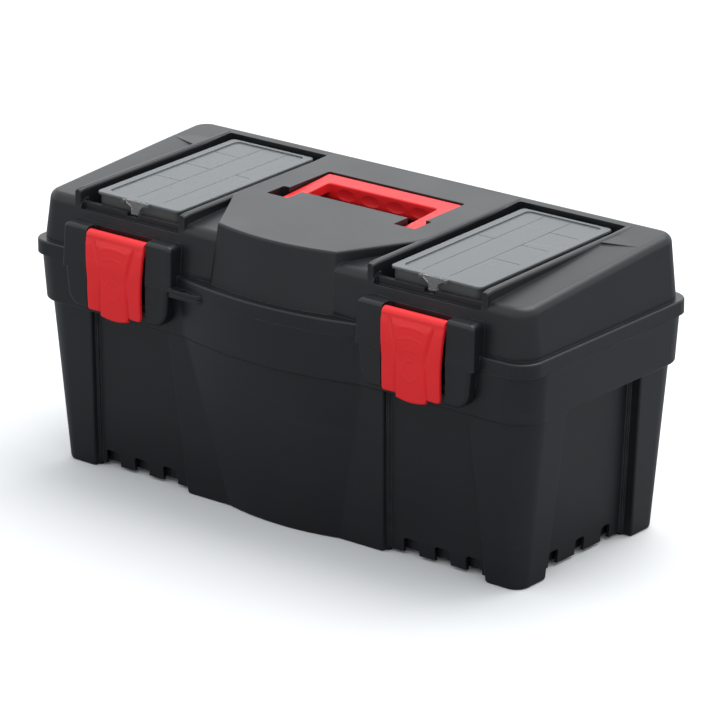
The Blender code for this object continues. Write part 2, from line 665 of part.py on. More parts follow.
# ---- lift-out tray -------------------------------------------------------------------------------------
def make_tray(dressed, divider_dress):
    """Tray that hangs by its rim on the tub's step, with a grip bridge and two dividers."""
    rim_x, rim_y = LENGTH / 2 - WALL - 3.2, BODY_DEPTH / 2 - WALL - 3.2
    bowl_x, bowl_y, depth = 251.0, 99.0, 42.0
    low_x, low_y, wall = bowl_x - 5, bowl_y - 5, 2.2

    def plan(half_x, half_y, radius):
        return rounded_rect(-half_x, half_x, -half_y, half_y, radius, 5)

    rim = TRAY_STEP
    bottom = rim - depth
    rings = [at_height(plan(low_x - wall, low_y - wall, 14), bottom + wall),
             at_height(plan(bowl_x - wall, bowl_y - wall, 18), rim + 2.4),
             at_height(plan(rim_x, rim_y, 26), rim + 2.4), at_height(plan(rim_x, rim_y, 26), rim + GAP),
             at_height(plan(bowl_x, bowl_y, 20), rim + GAP), at_height(plan(low_x, low_y, 16), bottom)]
    tray = loft("tray", rings)
    spine = box("spine", (-70, 70), (-1.5, 1.5), (bottom + 1, rim + 30))
    window = prism_x("window", [(-5, rim - 8), (5, rim - 8), (5, rim + 21), (-5, rim + 21)], -55, 55)
    grip = prism_x("grip", circle((0, rim + 28), 6.0, 16), -66, 66)
    join(tray, join(cut(spine, window), grip))
    for x in (-150.0, 150.0):
        for y in (-1, 1):
            for edge in (-1, 1):
                lane = sorted((x + edge * 1.2, x + edge * 3.0))
                guide = sorted((y * 84.0, y * (low_y - 0.5)))
                join(tray, box("guide", lane, guide, (bottom + 1, rim - 4)))
    finish(tray, "tool_tray", dressed)
    for x, word in ((-150.0, "left"), (150.0, "right")):
        reach = low_y - wall - 0.5
        outline = [(-reach, bottom + wall + 0.3), (reach, bottom + wall + 0.3),
                   (reach + 2.0, rim - 6), (-reach - 2.0, rim - 6)]
        plate = prism_x("divider", outline, x - 0.8, x + 0.8)
        finish(plate, "tray_divider_" + word, divider_dress)


def build():
    """Clear the scene and build every piece."""
    for obj in list(bpy.data.objects):
        bpy.data.objects.remove(obj)
    black = material("black_plastic", (0.018, 0.019, 0.021), 0.42)
    red = material("red_plastic", (0.62, 0.022, 0.025), 0.32)
    grey = material("grey_plastic", (0.075, 0.078, 0.078), 0.40)
    clear = material("clear_plastic", (0.33, 0.35, 0.36), 0.20, 0.55)
    steel = material("steel", (0.45, 0.45, 0.46), 0.30)
    make_tub(black)
    make_lid(black)
    make_hinge_pins(steel)
    make_handle(red)
    for side, word in ((-1, "left"), (1, "right")):
        make_latch(side, word, red)
        make_organizer(side, word, grey, clear, grey)
    make_tray(black, grey)


build()
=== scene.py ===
"""Toolbox with a lift-out tray: fine surfaces, finishes, studio floor, light and camera."""
import json
import logging
import math
from collections.abc import Callable, Iterable, Sequence
from dataclasses import dataclass, field
from enum import Enum
from functools import cached_property

import bmesh
import bpy
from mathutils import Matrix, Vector


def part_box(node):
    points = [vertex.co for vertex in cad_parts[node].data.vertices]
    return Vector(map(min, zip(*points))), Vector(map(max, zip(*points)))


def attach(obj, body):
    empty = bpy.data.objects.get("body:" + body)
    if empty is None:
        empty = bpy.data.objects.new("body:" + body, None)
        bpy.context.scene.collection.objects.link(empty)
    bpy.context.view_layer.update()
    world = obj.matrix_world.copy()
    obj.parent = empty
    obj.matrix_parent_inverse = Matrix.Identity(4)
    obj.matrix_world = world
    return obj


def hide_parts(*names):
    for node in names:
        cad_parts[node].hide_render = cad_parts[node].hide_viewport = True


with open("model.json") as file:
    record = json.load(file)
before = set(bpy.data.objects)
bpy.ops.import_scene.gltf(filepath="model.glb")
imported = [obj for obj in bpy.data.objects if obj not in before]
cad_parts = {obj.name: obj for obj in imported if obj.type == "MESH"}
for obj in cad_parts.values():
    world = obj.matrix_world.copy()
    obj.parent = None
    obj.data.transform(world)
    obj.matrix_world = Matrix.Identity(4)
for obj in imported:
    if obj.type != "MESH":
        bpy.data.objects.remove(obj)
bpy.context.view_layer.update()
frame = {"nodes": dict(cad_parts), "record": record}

LOG = logging.getLogger("toolbox")
MM = 0.001
SHARP_ANGLE = math.radians(38)
NEARLY_STRAIGHT = 1.553     # half angle at a corner that is too flat to need an arc
ABOVE = 290.0               # a height clear of the closed box, for cutters that open upwards
CUTTER_FRONT = -145.0       # a place clear of the front, for cutters that open forwards

Plan = list[tuple[float, float]]
Ring = list[tuple[float, float, float]]
Height = float | Callable[[float, float], float]
Corner = tuple[float, float, float, int]


# ---- mesh tools ---------------------------------------------------------------------------
def make_object(name: str, verts: Iterable[Sequence[float]], faces: Iterable[Sequence[int]]) \
        -> bpy.types.Object:
    """Make a closed mesh object with its faces pointing outwards.

    Args:
        name: Name of the object and its mesh.
        verts: Corner points in millimetres.
        faces: Corner indices of each face.

    Returns:
        The linked object.
    """
    mesh = bpy.data.meshes.new(name)
    mesh.from_pydata([tuple(c * MM for c in v) for v in verts], [], [tuple(f) for f in faces])
    bm = bmesh.new()
    bm.from_mesh(mesh)
    bmesh.ops.remove_doubles(bm, verts=bm.verts, dist=1e-6)
    bmesh.ops.recalc_face_normals(bm, faces=bm.faces)
    bm.to_mesh(mesh)
    bm.free()
    obj = bpy.data.objects.new(name, mesh)
    bpy.context.scene.collection.objects.link(obj)
    return obj


def loft(name: str, rings: Sequence[Ring], end_caps: Sequence[Sequence[int]] | None = None) \
        -> bpy.types.Object:
    """Make a closed solid through rings that have the same number of points.

    Args:
        name: Name of the object.
        rings: Rings in order, in millimetres.
        end_caps: Point indices of the faces that close the last ring; one face if left out.

    Returns:
        The solid.
    """
    count = len(rings[0])
    verts = [v for ring in rings for v in ring]
    faces: list[Sequence[int]] = []
    for level in range(len(rings) - 1):
        low, high = level * count, (level + 1) * count
        for i in range(count):
            j = (i + 1) % count
            faces.append((low + i, low + j, high + j, high + i))
    top = (len(rings) - 1) * count
    faces.append(tuple(range(count)))
    for cap in end_caps or [range(count)]:
        faces.append(tuple(top + i for i in cap))
    return make_object(name, verts, faces)


def arc(centre: tuple[float, float], radius: float, start: float, end: float, steps: int) -> Plan:
    """Points on an arc, ends included; the angles are in degrees."""
    angles = [math.radians(start + (end - start) * i / steps) for i in range(steps + 1)]
    return [(centre[0] + radius * math.cos(a), centre[1] + radius * math.sin(a)) for a in angles]


def rounded(corners: Sequence[Corner]) -> Plan:
    """Round the corners of an outline.

    Args:
        corners: Each corner's two coordinates, how far its arc starts from it, and the arc's steps.

    Returns:
        The outline, with steps + 1 points at each rounded corner.
    """
    plan: Plan = []
    for i, (x, y, radius, steps) in enumerate(corners):
        here = Vector((x, y))
        if not steps:
            plan.append((x, y))
            continue
        before = Vector(corners[i - 1][:2]) - here
        after = Vector(corners[(i + 1) % len(corners)][:2]) - here
        reach = min(radius, 0.44 * before.length, 0.44 * after.length)
        half = before.angle(after) / 2
        start = here + before.normalized() * reach
        end = here + after.normalized() * reach
        if half > NEARLY_STRAIGHT:
            plan += [tuple(start.lerp(end, k / steps)) for k in range(steps + 1)]
            continue
        centre = here + (before.normalized() + after.normalized()).normalized() * (reach / math.cos(half))
        first = math.atan2(start.y - centre.y, start.x - centre.x)
        turn = math.atan2(end.y - centre.y, end.x - centre.x) - first
        turn = (turn + math.pi) % (2 * math.pi) - math.pi
        plan += arc(tuple(centre), (start - centre).length, math.degrees(first), math.degrees(first + turn),
                    steps)
    return plan


def rounded_rect(x: tuple[float, float], y: tuple[float, float], radius: float, steps: int = 8) -> Plan:
    """Rectangle with round corners, counter-clockwise.

    Args:
        x: Lowest and highest first coordinate.
        y: Lowest and highest second coordinate.
        radius: Radius of the corners.
        steps: Steps of each corner's arc.

    Returns:
        The outline.
    """
    r = max(radius, 0.05)
    centres = [((x[1] - r, y[0] + r), -90), ((x[1] - r, y[1] - r), 0), ((x[0] + r, y[1] - r), 90),
               ((x[0] + r, y[0] + r), 180)]
    return [p for centre, start in centres for p in arc(centre, r, start, start + 90, steps)]


def mirrored(corners: Sequence[Corner]) -> list[Corner]:
    """Corners on the other side of the middle, in the order that goes on round."""
    return [(-x, y, radius, steps) for x, y, radius, steps in reversed(corners)]


def inset(plan: Plan, distance: float) -> Plan:
    """Move an outline inwards, with mitred corners.

    Args:
        plan: Outline, counter-clockwise.
        distance: How far every edge moves.

    Returns:
        The moved outline, with as many points.
    """
    moved: Plan = []
    for i, point in enumerate(plan):
        here = Vector(point)
        before = (here - Vector(plan[i - 1])).normalized()
        after = (Vector(plan[(i + 1) % len(plan)]) - here).normalized()
        normal = Vector((-before.y, before.x))
        bisector = (normal + Vector((-after.y, after.x))).normalized()
        reach = distance / max(0.5, bisector.dot(normal))
        moved.append((point[0] + bisector.x * reach, point[1] + bisector.y * reach))
    return moved


def at(plan: Plan, z: Height) -> Ring:
    """Ring of an outline at a height, or at a height that is a function of the place."""
    return [(x, y, z(x, y) if callable(z) else z) for x, y in plan]


def rounding(edge: float, steps: int) -> list[tuple[float, float]]:
    """Pairs of how far in and how far down a round edge is, from its side up to its top."""
    turns = [math.radians(90 * k / steps) for k in range(steps + 1)]
    return [(edge * (1 - math.cos(turn)), edge * (1 - math.sin(turn))) for turn in turns]


def below(plan: Plan, top: Height, levels: Iterable[tuple[float, float]]) -> list[Ring]:
    """Make rings under a top face.

    Args:
        plan: Outline seen from above.
        top: Height of the face.
        levels: How far in and how far down each ring is.

    Returns:
        The rings.
    """
    rings = []
    for inwards, drop in levels:
        ring = inset(plan, inwards) if inwards else plan
        rings.append([(x, y, z - drop) for x, y, z in at(ring, top)])
    return rings


def upright(name: str, plan: Plan, low: Height, high: Height, edge: float = 0.0, steps: int = 4) \
        -> bpy.types.Object:
    """Make a prism over a plan, with its upper edge rounded.

    Args:
        name: Name of the object.
        plan: Outline seen from above.
        low: Height of the underside.
        high: Height of the top.
        edge: Radius of the upper edge.
        steps: Steps of the rounding.

    Returns:
        The prism.
    """
    levels = rounding(edge, steps) if edge else [(0.0, 0.0)]
    return loft(name, [at(plan, low)] + below(plan, high, levels))


def across(name: str, section: Plan, x: tuple[float, float], edge: float = 0.0, steps: int = 4) \
        -> bpy.types.Object:
    """Make a bar along X from a section in Y and Z, with rounded ends.

    Args:
        name: Name of the object.
        section: Outline of the bar, as (y, z).
        x: Where the bar starts and ends.
        edge: Radius at both ends.
        steps: Steps of the rounding.

    Returns:
        The bar.
    """
    area = sum(a[0] * b[1] - b[0] * a[1] for a, b in zip(section, section[1:] + section[:1]))
    turned = section if area > 0 else section[::-1]
    offsets = rounding(edge, steps) if edge else [(0.0, 0.0)]
    ends = [(x[0] + along, inwards) for along, inwards in offsets]
    ends += [(x[1] - along, inwards) for along, inwards in reversed(offsets)]
    rings = []
    for place, inwards in ends:
        shape = inset(turned, inwards) if edge else turned
        rings.append([(place, y, z) for y, z in shape])
    return loft(name, rings)


def rod(name: str, x: tuple[float, float], centre: tuple[float, float], radius: float, edge: float = 0.0,
        sides: int = 32) -> bpy.types.Object:
    """Round bar along X about a (y, z) centre."""
    return across(name, arc(centre, radius, 0, 360 - 360 / sides, sides - 1), x, edge)


def block(name: str, x: tuple[float, float], y: tuple[float, float], z: tuple[float, float]) \
        -> bpy.types.Object:
    """Plain box between two values on each axis, for cutting and joining."""
    return upright(name, [(x[0], y[0]), (x[1], y[0]), (x[1], y[1]), (x[0], y[1])], z[0], z[1])


def spread(centre: float, *offsets: float) -> tuple[float, float]:
    """Lowest and highest of a centre plus two offsets."""
    values = [centre + offset for offset in offsets]
    return min(values), max(values)


def combine(target: bpy.types.Object, others: Iterable[bpy.types.Object], operation: str) \
        -> bpy.types.Object:
    """Boolean other solids into a target and remove them.

    Args:
        target: Solid that is changed.
        others: Solids that are added or cut away.
        operation: UNION or DIFFERENCE.

    Returns:
        The target.
    """
    for other in others:
        modifier = target.modifiers.new("Combine", "BOOLEAN")
        modifier.operation = operation
        modifier.solver = "EXACT"
        modifier.object = other
        flatten(target)
        bpy.data.objects.remove(other)
    return target


def join(target: bpy.types.Object, *others: bpy.types.Object) -> bpy.types.Object:
    """Union of the target with other solids."""
    return combine(target, others, "UNION")


def cut(target: bpy.types.Object, *others: bpy.types.Object) -> bpy.types.Object:
    """The target with other solids cut away."""
    return combine(target, others, "DIFFERENCE")


def flatten(obj: bpy.types.Object) -> None:
    """Turn an object's modifiers into its plain mesh.

    Args:
        obj: The object; its modifiers are removed.
    """
    bpy.context.view_layer.update()
    graph = bpy.context.evaluated_depsgraph_get()
    mesh = bpy.data.meshes.new_from_object(obj.evaluated_get(graph))
    obj.modifiers.clear()
    obj.data = mesh


def dress(obj: bpy.types.Object, name: str, finish: "Finish", angle: float = SHARP_ANGLE) \
        -> bpy.types.Object:
    """Clean a piece's mesh, shade it and give it its finish.

    Args:
        obj: The piece.
        name: Its final name.
        finish: Finish of the whole piece.
        angle: Edges sharper than this stay sharp.

    Returns:
        The piece.
    """
    obj.name = name
    obj.data.name = name
    bm = bmesh.new()
    bm.from_mesh(obj.data)
    bmesh.ops.remove_doubles(bm, verts=bm.verts, dist=1.5e-5)
    bmesh.ops.dissolve_degenerate(bm, edges=bm.edges, dist=1e-6)
    bm.to_mesh(obj.data)
    bm.free()
    obj.data.materials.clear()
    obj.data.materials.append(finish.material)
    for polygon in obj.data.polygons:
        polygon.material_index = 0
    obj.data.shade_smooth()
    obj.data.set_sharp_from_angle(angle=angle)
    weighted = obj.modifiers.new("Weighted", "WEIGHTED_NORMAL")
    weighted.keep_sharp = True
    weighted.weight = 60
    flatten(obj)
    obj.data.name = name
    return obj


def refinish(node: str, finish: "Finish") -> None:
    """Keep a CAD node's shape and give it a finish.

    Args:
        node: Name of the node.
        finish: Finish of the whole node.
    """
    kept = frame["nodes"][node]
    for holder in kept.material_slots:
        holder.material = finish.material
    LOG.info("%s keeps its shape in %s", kept.name, finish.slot)


def hand_in(obj: bpy.types.Object, body: str, slot: str, *nodes: str) -> None:
    """Give a finished piece to the frame.

    Args:
        obj: The piece.
        body: Body that carries it.
        slot: Material slot of the record that it is finished in; not used.
        nodes: CAD nodes that it stands for.
    """
    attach(obj, body)
    if nodes:
        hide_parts(*nodes)
    LOG.info("%s rides on %s with %d faces", obj.name, body, len(obj.data.polygons))


# ---- places read from the frame ---------------------------------------------------------------
def joint(name: str) -> tuple[float, float, float]:
    """Look up where a joint is.

    Args:
        name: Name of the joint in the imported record.

    Returns:
        Its position in millimetres.
    """
    for item in frame["record"]["behaviour"]["joints"]:
        if item["name"] == name:
            return tuple(c / MM for c in item["pos_m"])
    raise KeyError(name)


def extent(node: str) -> tuple[tuple[float, ...], tuple[float, ...]]:
    """Lowest and highest corner of a CAD node in millimetres."""
    low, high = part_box(node)
    return tuple(c / MM for c in low), tuple(c / MM for c in high)


class Side(Enum):
    """The two ends of the box."""
    LEFT = -1
    RIGHT = 1

    @property
    def word(self) -> str:
        """Name of the side in the node names."""
        return self.name.lower()


@dataclass(frozen=True)
class Places:
    """Where the frame's pieces are, in millimetres."""
    half_x: float = field(default_factory=lambda: extent("tub_body")[1][0])
    back: float = 118.5
    latch_x: float = field(default_factory=lambda: joint("latch_right_swing")[0])
    latch_axis: tuple[float, float] = field(default_factory=lambda: joint("latch_right_swing")[1:])
    hinge_axis: tuple[float, float] = field(default_factory=lambda: joint("lid_hinge")[1:])
    hinge_x: float = 165.0
    organizer_x: float = field(default_factory=lambda: joint("organizer_right_lid_hinge")[0])
    organizer_hinge: tuple[float, float] = \
        field(default_factory=lambda: joint("organizer_right_lid_hinge")[1:])
    clip_axis: tuple[float, float] = field(default_factory=lambda: joint("organizer_right_clip_swing")[1:])
    handle_axis: tuple[float, float] = field(default_factory=lambda: joint("handle_fold")[1:])
    seam: float = field(default_factory=lambda: joint("lid_hinge")[2] - 0.2)


# ---- shader groups ----------------------------------------------------------------------------
class NodeSheet:
    """Small helper that adds and wires shader nodes in one tree."""

    def __init__(self, tree: bpy.types.NodeTree) -> None:
        """Keep the tree that nodes are added to."""
        self.tree = tree

    def add(self, kind: str, **settings: object) -> bpy.types.Node:
        """Add a node.

        Args:
            kind: Node type.
            settings: Plain properties of the node.

        Returns:
            The node.
        """
        node = self.tree.nodes.new(kind)
        for key, value in settings.items():
            setattr(node, key, value)
        return node

    def wire(self, source: bpy.types.NodeSocket, target: bpy.types.NodeSocket) -> None:
        """Join an output to an input."""
        self.tree.links.new(source, target)

    def math(self, operation: str, first: object, second: object = 0.0, clamp: bool = False) \
            -> bpy.types.NodeSocket:
        """Add a Math node.

        Args:
            operation: What the node does.
            first: First input, a socket or a number.
            second: Second input, a socket or a number.
            clamp: Whether the result is kept between 0 and 1.

        Returns:
            The node's output.
        """
        node = self.add("ShaderNodeMath", operation=operation, use_clamp=clamp)
        for slot, value in enumerate((first, second)):
            if isinstance(value, bpy.types.NodeSocket):
                self.wire(value, node.inputs[slot])
            else:
                node.inputs[slot].default_value = value
        return node.outputs[0]

    def span(self, value: bpy.types.NodeSocket, low: float, high: float, to_low: float = 0.0,
             to_high: float = 1.0) -> bpy.types.NodeSocket:
        """Add a Map Range node with clamped ends.

        Args:
            value: Socket that is mapped.
            low: Value that gives to_low.
            high: Value that gives to_high.
            to_low: Result at the low end.
            to_high: Result at the high end.

        Returns:
            The node's output.
        """
        node = self.add("ShaderNodeMapRange")
        self.wire(value, node.inputs["Value"])
        for key, number in (("From Min", low), ("From Max", high), ("To Min", to_low), ("To Max", to_high)):
            node.inputs[key].default_value = number
        return node.outputs["Result"]


def shader_group(name: str, inputs: Sequence[tuple[str, float]], outputs: Sequence[tuple[str, str]]) \
        -> tuple[NodeSheet, bpy.types.Node, bpy.types.Node]:
    """Start a shader node group with named sockets.

    Args:
        name: Name of the group.
        inputs: Name and default of each float input.
        outputs: Name and socket type of each output.

    Returns:
        The group's sheet and its input and output nodes.
    """
    tree = bpy.data.node_groups.new(name, "ShaderNodeTree")
    for label, default in inputs:
        given = tree.interface.new_socket(label, in_out="INPUT", socket_type="NodeSocketFloat")
        given.default_value = default
    for label, kind in outputs:
        tree.interface.new_socket(label, in_out="OUTPUT", socket_type=kind)
    sheet = NodeSheet(tree)
    return sheet, sheet.add("NodeGroupInput"), sheet.add("NodeGroupOutput")


def grain_group() -> bpy.types.NodeTree:
    """Moulded grain: fine pebbled height, and a slow mottle of the gloss."""
    sheet, given, out = shader_group("Moulded grain", [("Grain scale", 1500.0), ("Mottle scale", 14.0)],
                                     [("Height", "NodeSocketFloat"), ("Mottle", "NodeSocketFloat")])
    place = sheet.add("ShaderNodeTexCoord").outputs["Object"]
    pebble = sheet.add("ShaderNodeTexVoronoi", feature="SMOOTH_F1")
    pebble.inputs["Smoothness"].default_value = 0.6
    sheet.wire(place, pebble.inputs["Vector"])
    sheet.wire(given.outputs["Grain scale"], pebble.inputs["Scale"])
    soft = sheet.add("ShaderNodeTexNoise")
    soft.inputs["Detail"].default_value = 3.0
    sheet.wire(place, soft.inputs["Vector"])
    sheet.wire(sheet.math("MULTIPLY", given.outputs["Grain scale"], 0.45), soft.inputs["Scale"])
    sheet.wire(sheet.math("ADD", sheet.math("MULTIPLY", pebble.outputs["Distance"], 0.6),
                          sheet.math("MULTIPLY", soft.outputs["Fac"], 0.4)), out.inputs["Height"])
    slow = sheet.add("ShaderNodeTexNoise")
    slow.inputs["Detail"].default_value = 4.0
    sheet.wire(place, slow.inputs["Vector"])
    sheet.wire(given.outputs["Mottle scale"], slow.inputs["Scale"])
    sheet.wire(sheet.span(slow.outputs["Fac"], 0.3, 0.7), out.inputs["Mottle"])
    return sheet.tree


def edge_group() -> bpy.types.NodeTree:
    """Soft moulded edges: a rounded normal, and a patchy edge mask for rub wear and a painted edge highlight.
    """
    sheet, given, out = shader_group("Soft edges", [("Radius", 0.0009), ("Rub scale", 60.0)],
                                     [("Normal", "NodeSocketVector"), ("Rubbed", "NodeSocketFloat")])
    bevel = sheet.add("ShaderNodeBevel", samples=6)
    sheet.wire(given.outputs["Radius"], bevel.inputs["Radius"])
    sheet.wire(bevel.outputs["Normal"], out.inputs["Normal"])
    shape = sheet.add("ShaderNodeNewGeometry")
    dot = sheet.add("ShaderNodeVectorMath", operation="DOT_PRODUCT")
    sheet.wire(bevel.outputs["Normal"], dot.inputs[0])
    sheet.wire(shape.outputs["Normal"], dot.inputs[1])
    noise = sheet.add("ShaderNodeTexNoise")
    noise.inputs["Detail"].default_value = 5.0
    sheet.wire(sheet.add("ShaderNodeTexCoord").outputs["Object"], noise.inputs["Vector"])
    sheet.wire(given.outputs["Rub scale"], noise.inputs["Scale"])
    # Edge mask: edges take the edge colour, a painted highlight where they would catch light, patchy like rub
    # wear.
    edge = sheet.span(dot.outputs["Value"], 1.0, 0.93)
    patchy = sheet.span(noise.outputs["Fac"], 0.35, 0.75)
    sheet.wire(sheet.math("MULTIPLY", edge, patchy), out.inputs["Rubbed"])
    return sheet.tree


def scuff_group() -> bpy.types.NodeTree:
    """Faint hairline scuffs that run in two directions."""
    sheet, given, out = shader_group("Hairline scuffs", [("Scale", 40.0), ("Amount", 0.3)],
                                     [("Scuff", "NodeSocketFloat")])
    place = sheet.add("ShaderNodeTexCoord").outputs["Object"]
    lines = []
    for turn, seed in ((0.5, 3.0), (-0.9, 11.0)):
        mapping = sheet.add("ShaderNodeMapping")
        mapping.inputs["Rotation"].default_value = (turn, turn * 0.6, turn)
        mapping.inputs["Location"].default_value = (seed, 0.0, seed)
        mapping.inputs["Scale"].default_value = (0.06, 1.0, 3.0)
        sheet.wire(place, mapping.inputs["Vector"])
        noise = sheet.add("ShaderNodeTexNoise")
        noise.inputs["Detail"].default_value = 2.0
        sheet.wire(mapping.outputs["Vector"], noise.inputs["Vector"])
        sheet.wire(given.outputs["Scale"], noise.inputs["Scale"])
        lines.append(sheet.span(noise.outputs["Fac"], 0.66, 0.72))
    both = sheet.math("MAXIMUM", lines[0], lines[1])
    sheet.wire(sheet.math("MULTIPLY", both, given.outputs["Amount"]), out.inputs["Scuff"])
    return sheet.tree


SCUFF_TINT = 0.35           # how much of the edge colour, rub wear and painted highlight, a scuff shows
SCUFF_MATT = 0.12           # how much rougher a scuff is


@dataclass(frozen=True)
class Finish:
    """One moulded or metal finish and the material made from it.

    Colours are linear. The two tints are the colours between which the surface drifts, and
    the third colour is that of the edges: rub wear and a painted edge highlight.
    """
    slot: str
    tint: tuple[float, float, float]
    drift: tuple[float, float, float]
    # edge colour: rub wear and a painted edge highlight
    rub_and_highlight: tuple[float, float, float]
    roughness: tuple[float, float]
    specular: float = 0.5
    grain_scale: float = 1500.0
    grain_depth: float = 0.00003
    edge_radius: float = 0.0009
    # strength of the edge colour: rub wear and a painted edge highlight
    wear_and_highlight: float = 0.5
    scuffs: float = 0.25
    metallic: float = 0.0
    alpha: float = 1.0
    transmission: float = 0.0

    @cached_property
    def material(self) -> bpy.types.Material:
        """The material, wired from the shader groups when it is first used."""
        made = bpy.data.materials.new(self.slot + "_finish")
        made.use_nodes = True
        sheet = NodeSheet(made.node_tree)
        shader = made.node_tree.nodes["Principled BSDF"]
        for key, value in (("Metallic", self.metallic), ("Specular IOR Level", self.specular),
                           ("Transmission Weight", self.transmission), ("Alpha", self.alpha)):
            shader.inputs[key].default_value = value
        grain = self.place(sheet, "Moulded grain", {"Grain scale": self.grain_scale})
        edge = self.place(sheet, "Soft edges", {"Radius": self.edge_radius})
        scuff = self.place(sheet, "Hairline scuffs", {"Amount": self.scuffs})
        base = self.mix(sheet, grain.outputs["Mottle"], self.tint, self.drift)
        # Edges take the third colour: rub wear and a painted edge highlight.
        worn_and_highlit = sheet.math("MULTIPLY", edge.outputs["Rubbed"], self.wear_and_highlight, clamp=True)
        marked = sheet.math("MAXIMUM", worn_and_highlit, sheet.math("MULTIPLY", scuff.outputs["Scuff"], SCUFF_TINT))
        sheet.wire(self.mix(sheet, marked, base, self.rub_and_highlight), shader.inputs["Base Color"])
        gloss = sheet.span(grain.outputs["Mottle"], 0.0, 1.0, *self.roughness)
        matt = sheet.math("MULTIPLY", scuff.outputs["Scuff"], SCUFF_MATT)
        sheet.wire(sheet.math("ADD", gloss, matt, clamp=True), shader.inputs["Roughness"])
        bump = sheet.add("ShaderNodeBump")
        bump.inputs["Strength"].default_value = 0.5
        bump.inputs["Distance"].default_value = self.grain_depth
        sheet.wire(grain.outputs["Height"], bump.inputs["Height"])
        sheet.wire(edge.outputs["Normal"], bump.inputs["Normal"])
        sheet.wire(bump.outputs["Normal"], shader.inputs["Normal"])
        return made

    @staticmethod
    def place(sheet: NodeSheet, name: str, values: dict[str, float]) -> bpy.types.Node:
        """Place a shader group.

        Args:
            sheet: Sheet of the material.
            name: Name of the group.
            values: The group's inputs in this material.

        Returns:
            The group's node.
        """
        node = sheet.add("ShaderNodeGroup")
        node.node_tree = bpy.data.node_groups[name]
        for key, value in values.items():
            node.inputs[key].default_value = value
        return node

    @staticmethod
    def mix(sheet: NodeSheet, factor: bpy.types.NodeSocket, low: object, high: object) \
            -> bpy.types.NodeSocket:
        """Blend two colours.

        Args:
            sheet: Sheet of the material.
            factor: Socket that is 0 for the first colour and 1 for the second.
            low: First colour, a socket or a linear colour.
            high: Second colour, a socket or a linear colour.

        Returns:
            The blended colour.
        """
        node = sheet.add("ShaderNodeMix", data_type="RGBA")
        sheet.wire(factor, node.inputs["Factor"])
        for key, value in (("A", low), ("B", high)):
            slot = next(s for s in node.inputs if s.name == key and s.type == "RGBA")
            if isinstance(value, bpy.types.NodeSocket):
                sheet.wire(value, slot)
            else:
                slot.default_value = (*value, 1.0)
        return next(s for s in node.outputs if s.type == "RGBA")


class Finishes:
    """Every finish of the toolbox."""

    def __init__(self) -> None:
        """Build the shader groups, then the finishes that use them."""
        grain_group()
        edge_group()
        scuff_group()
        # The third colour of each finish is its edge colour: rub wear and a painted edge highlight.
        self.black = Finish("black_plastic", (0.0092, 0.0098, 0.0118), (0.0112, 0.0119, 0.0140),
                            (0.13, 0.135, 0.14), (0.33, 0.39), specular=0.48, wear_and_highlight=0.7, edge_radius=0.0005,
                            scuffs=0.05)
        self.tray = Finish("black_plastic", (0.014, 0.0145, 0.0155), (0.018, 0.0185, 0.0195),
                           (0.06, 0.062, 0.065), (0.48, 0.58), specular=0.42, scuffs=0.6)
        self.red = Finish("red_plastic", (0.86, 0.015, 0.019), (0.90, 0.019, 0.023), (0.85, 0.10, 0.10),
                          (0.33, 0.40), specular=0.45, grain_depth=0.000015, wear_and_highlight=0.35, edge_radius=0.0006)
        self.grey = Finish("grey_plastic", (0.075, 0.077, 0.074), (0.085, 0.087, 0.083), (0.14, 0.14, 0.14),
                           (0.36, 0.44), specular=0.4, edge_radius=0.0005)
        self.cover = Finish("clear_plastic", (0.113, 0.122, 0.128), (0.126, 0.136, 0.142),
                            (0.26, 0.27, 0.27), (0.24, 0.28), alpha=0.88, grain_depth=0.000004,
                            edge_radius=0.0004, scuffs=0.05)
        self.clear = Finish("clear_plastic", (0.80, 0.82, 0.83), (0.86, 0.88, 0.88), (0.9, 0.9, 0.9),
                            (0.05, 0.10), transmission=0.9, grain_depth=0.000004, edge_radius=0.0003,
                            wear_and_highlight=0.1)
        self.steel = Finish("steel", (0.45, 0.45, 0.46), (0.50, 0.50, 0.51), (0.6, 0.6, 0.6), (0.26, 0.34),
                            metallic=1.0, grain_depth=0.000006, edge_radius=0.0003)


# ---- geometry node rows -----------------------------------------------------------------------
class RowKind(Enum):
    """What a row repeats."""
    GATE = "gate"
    DIMPLE = "dimple"


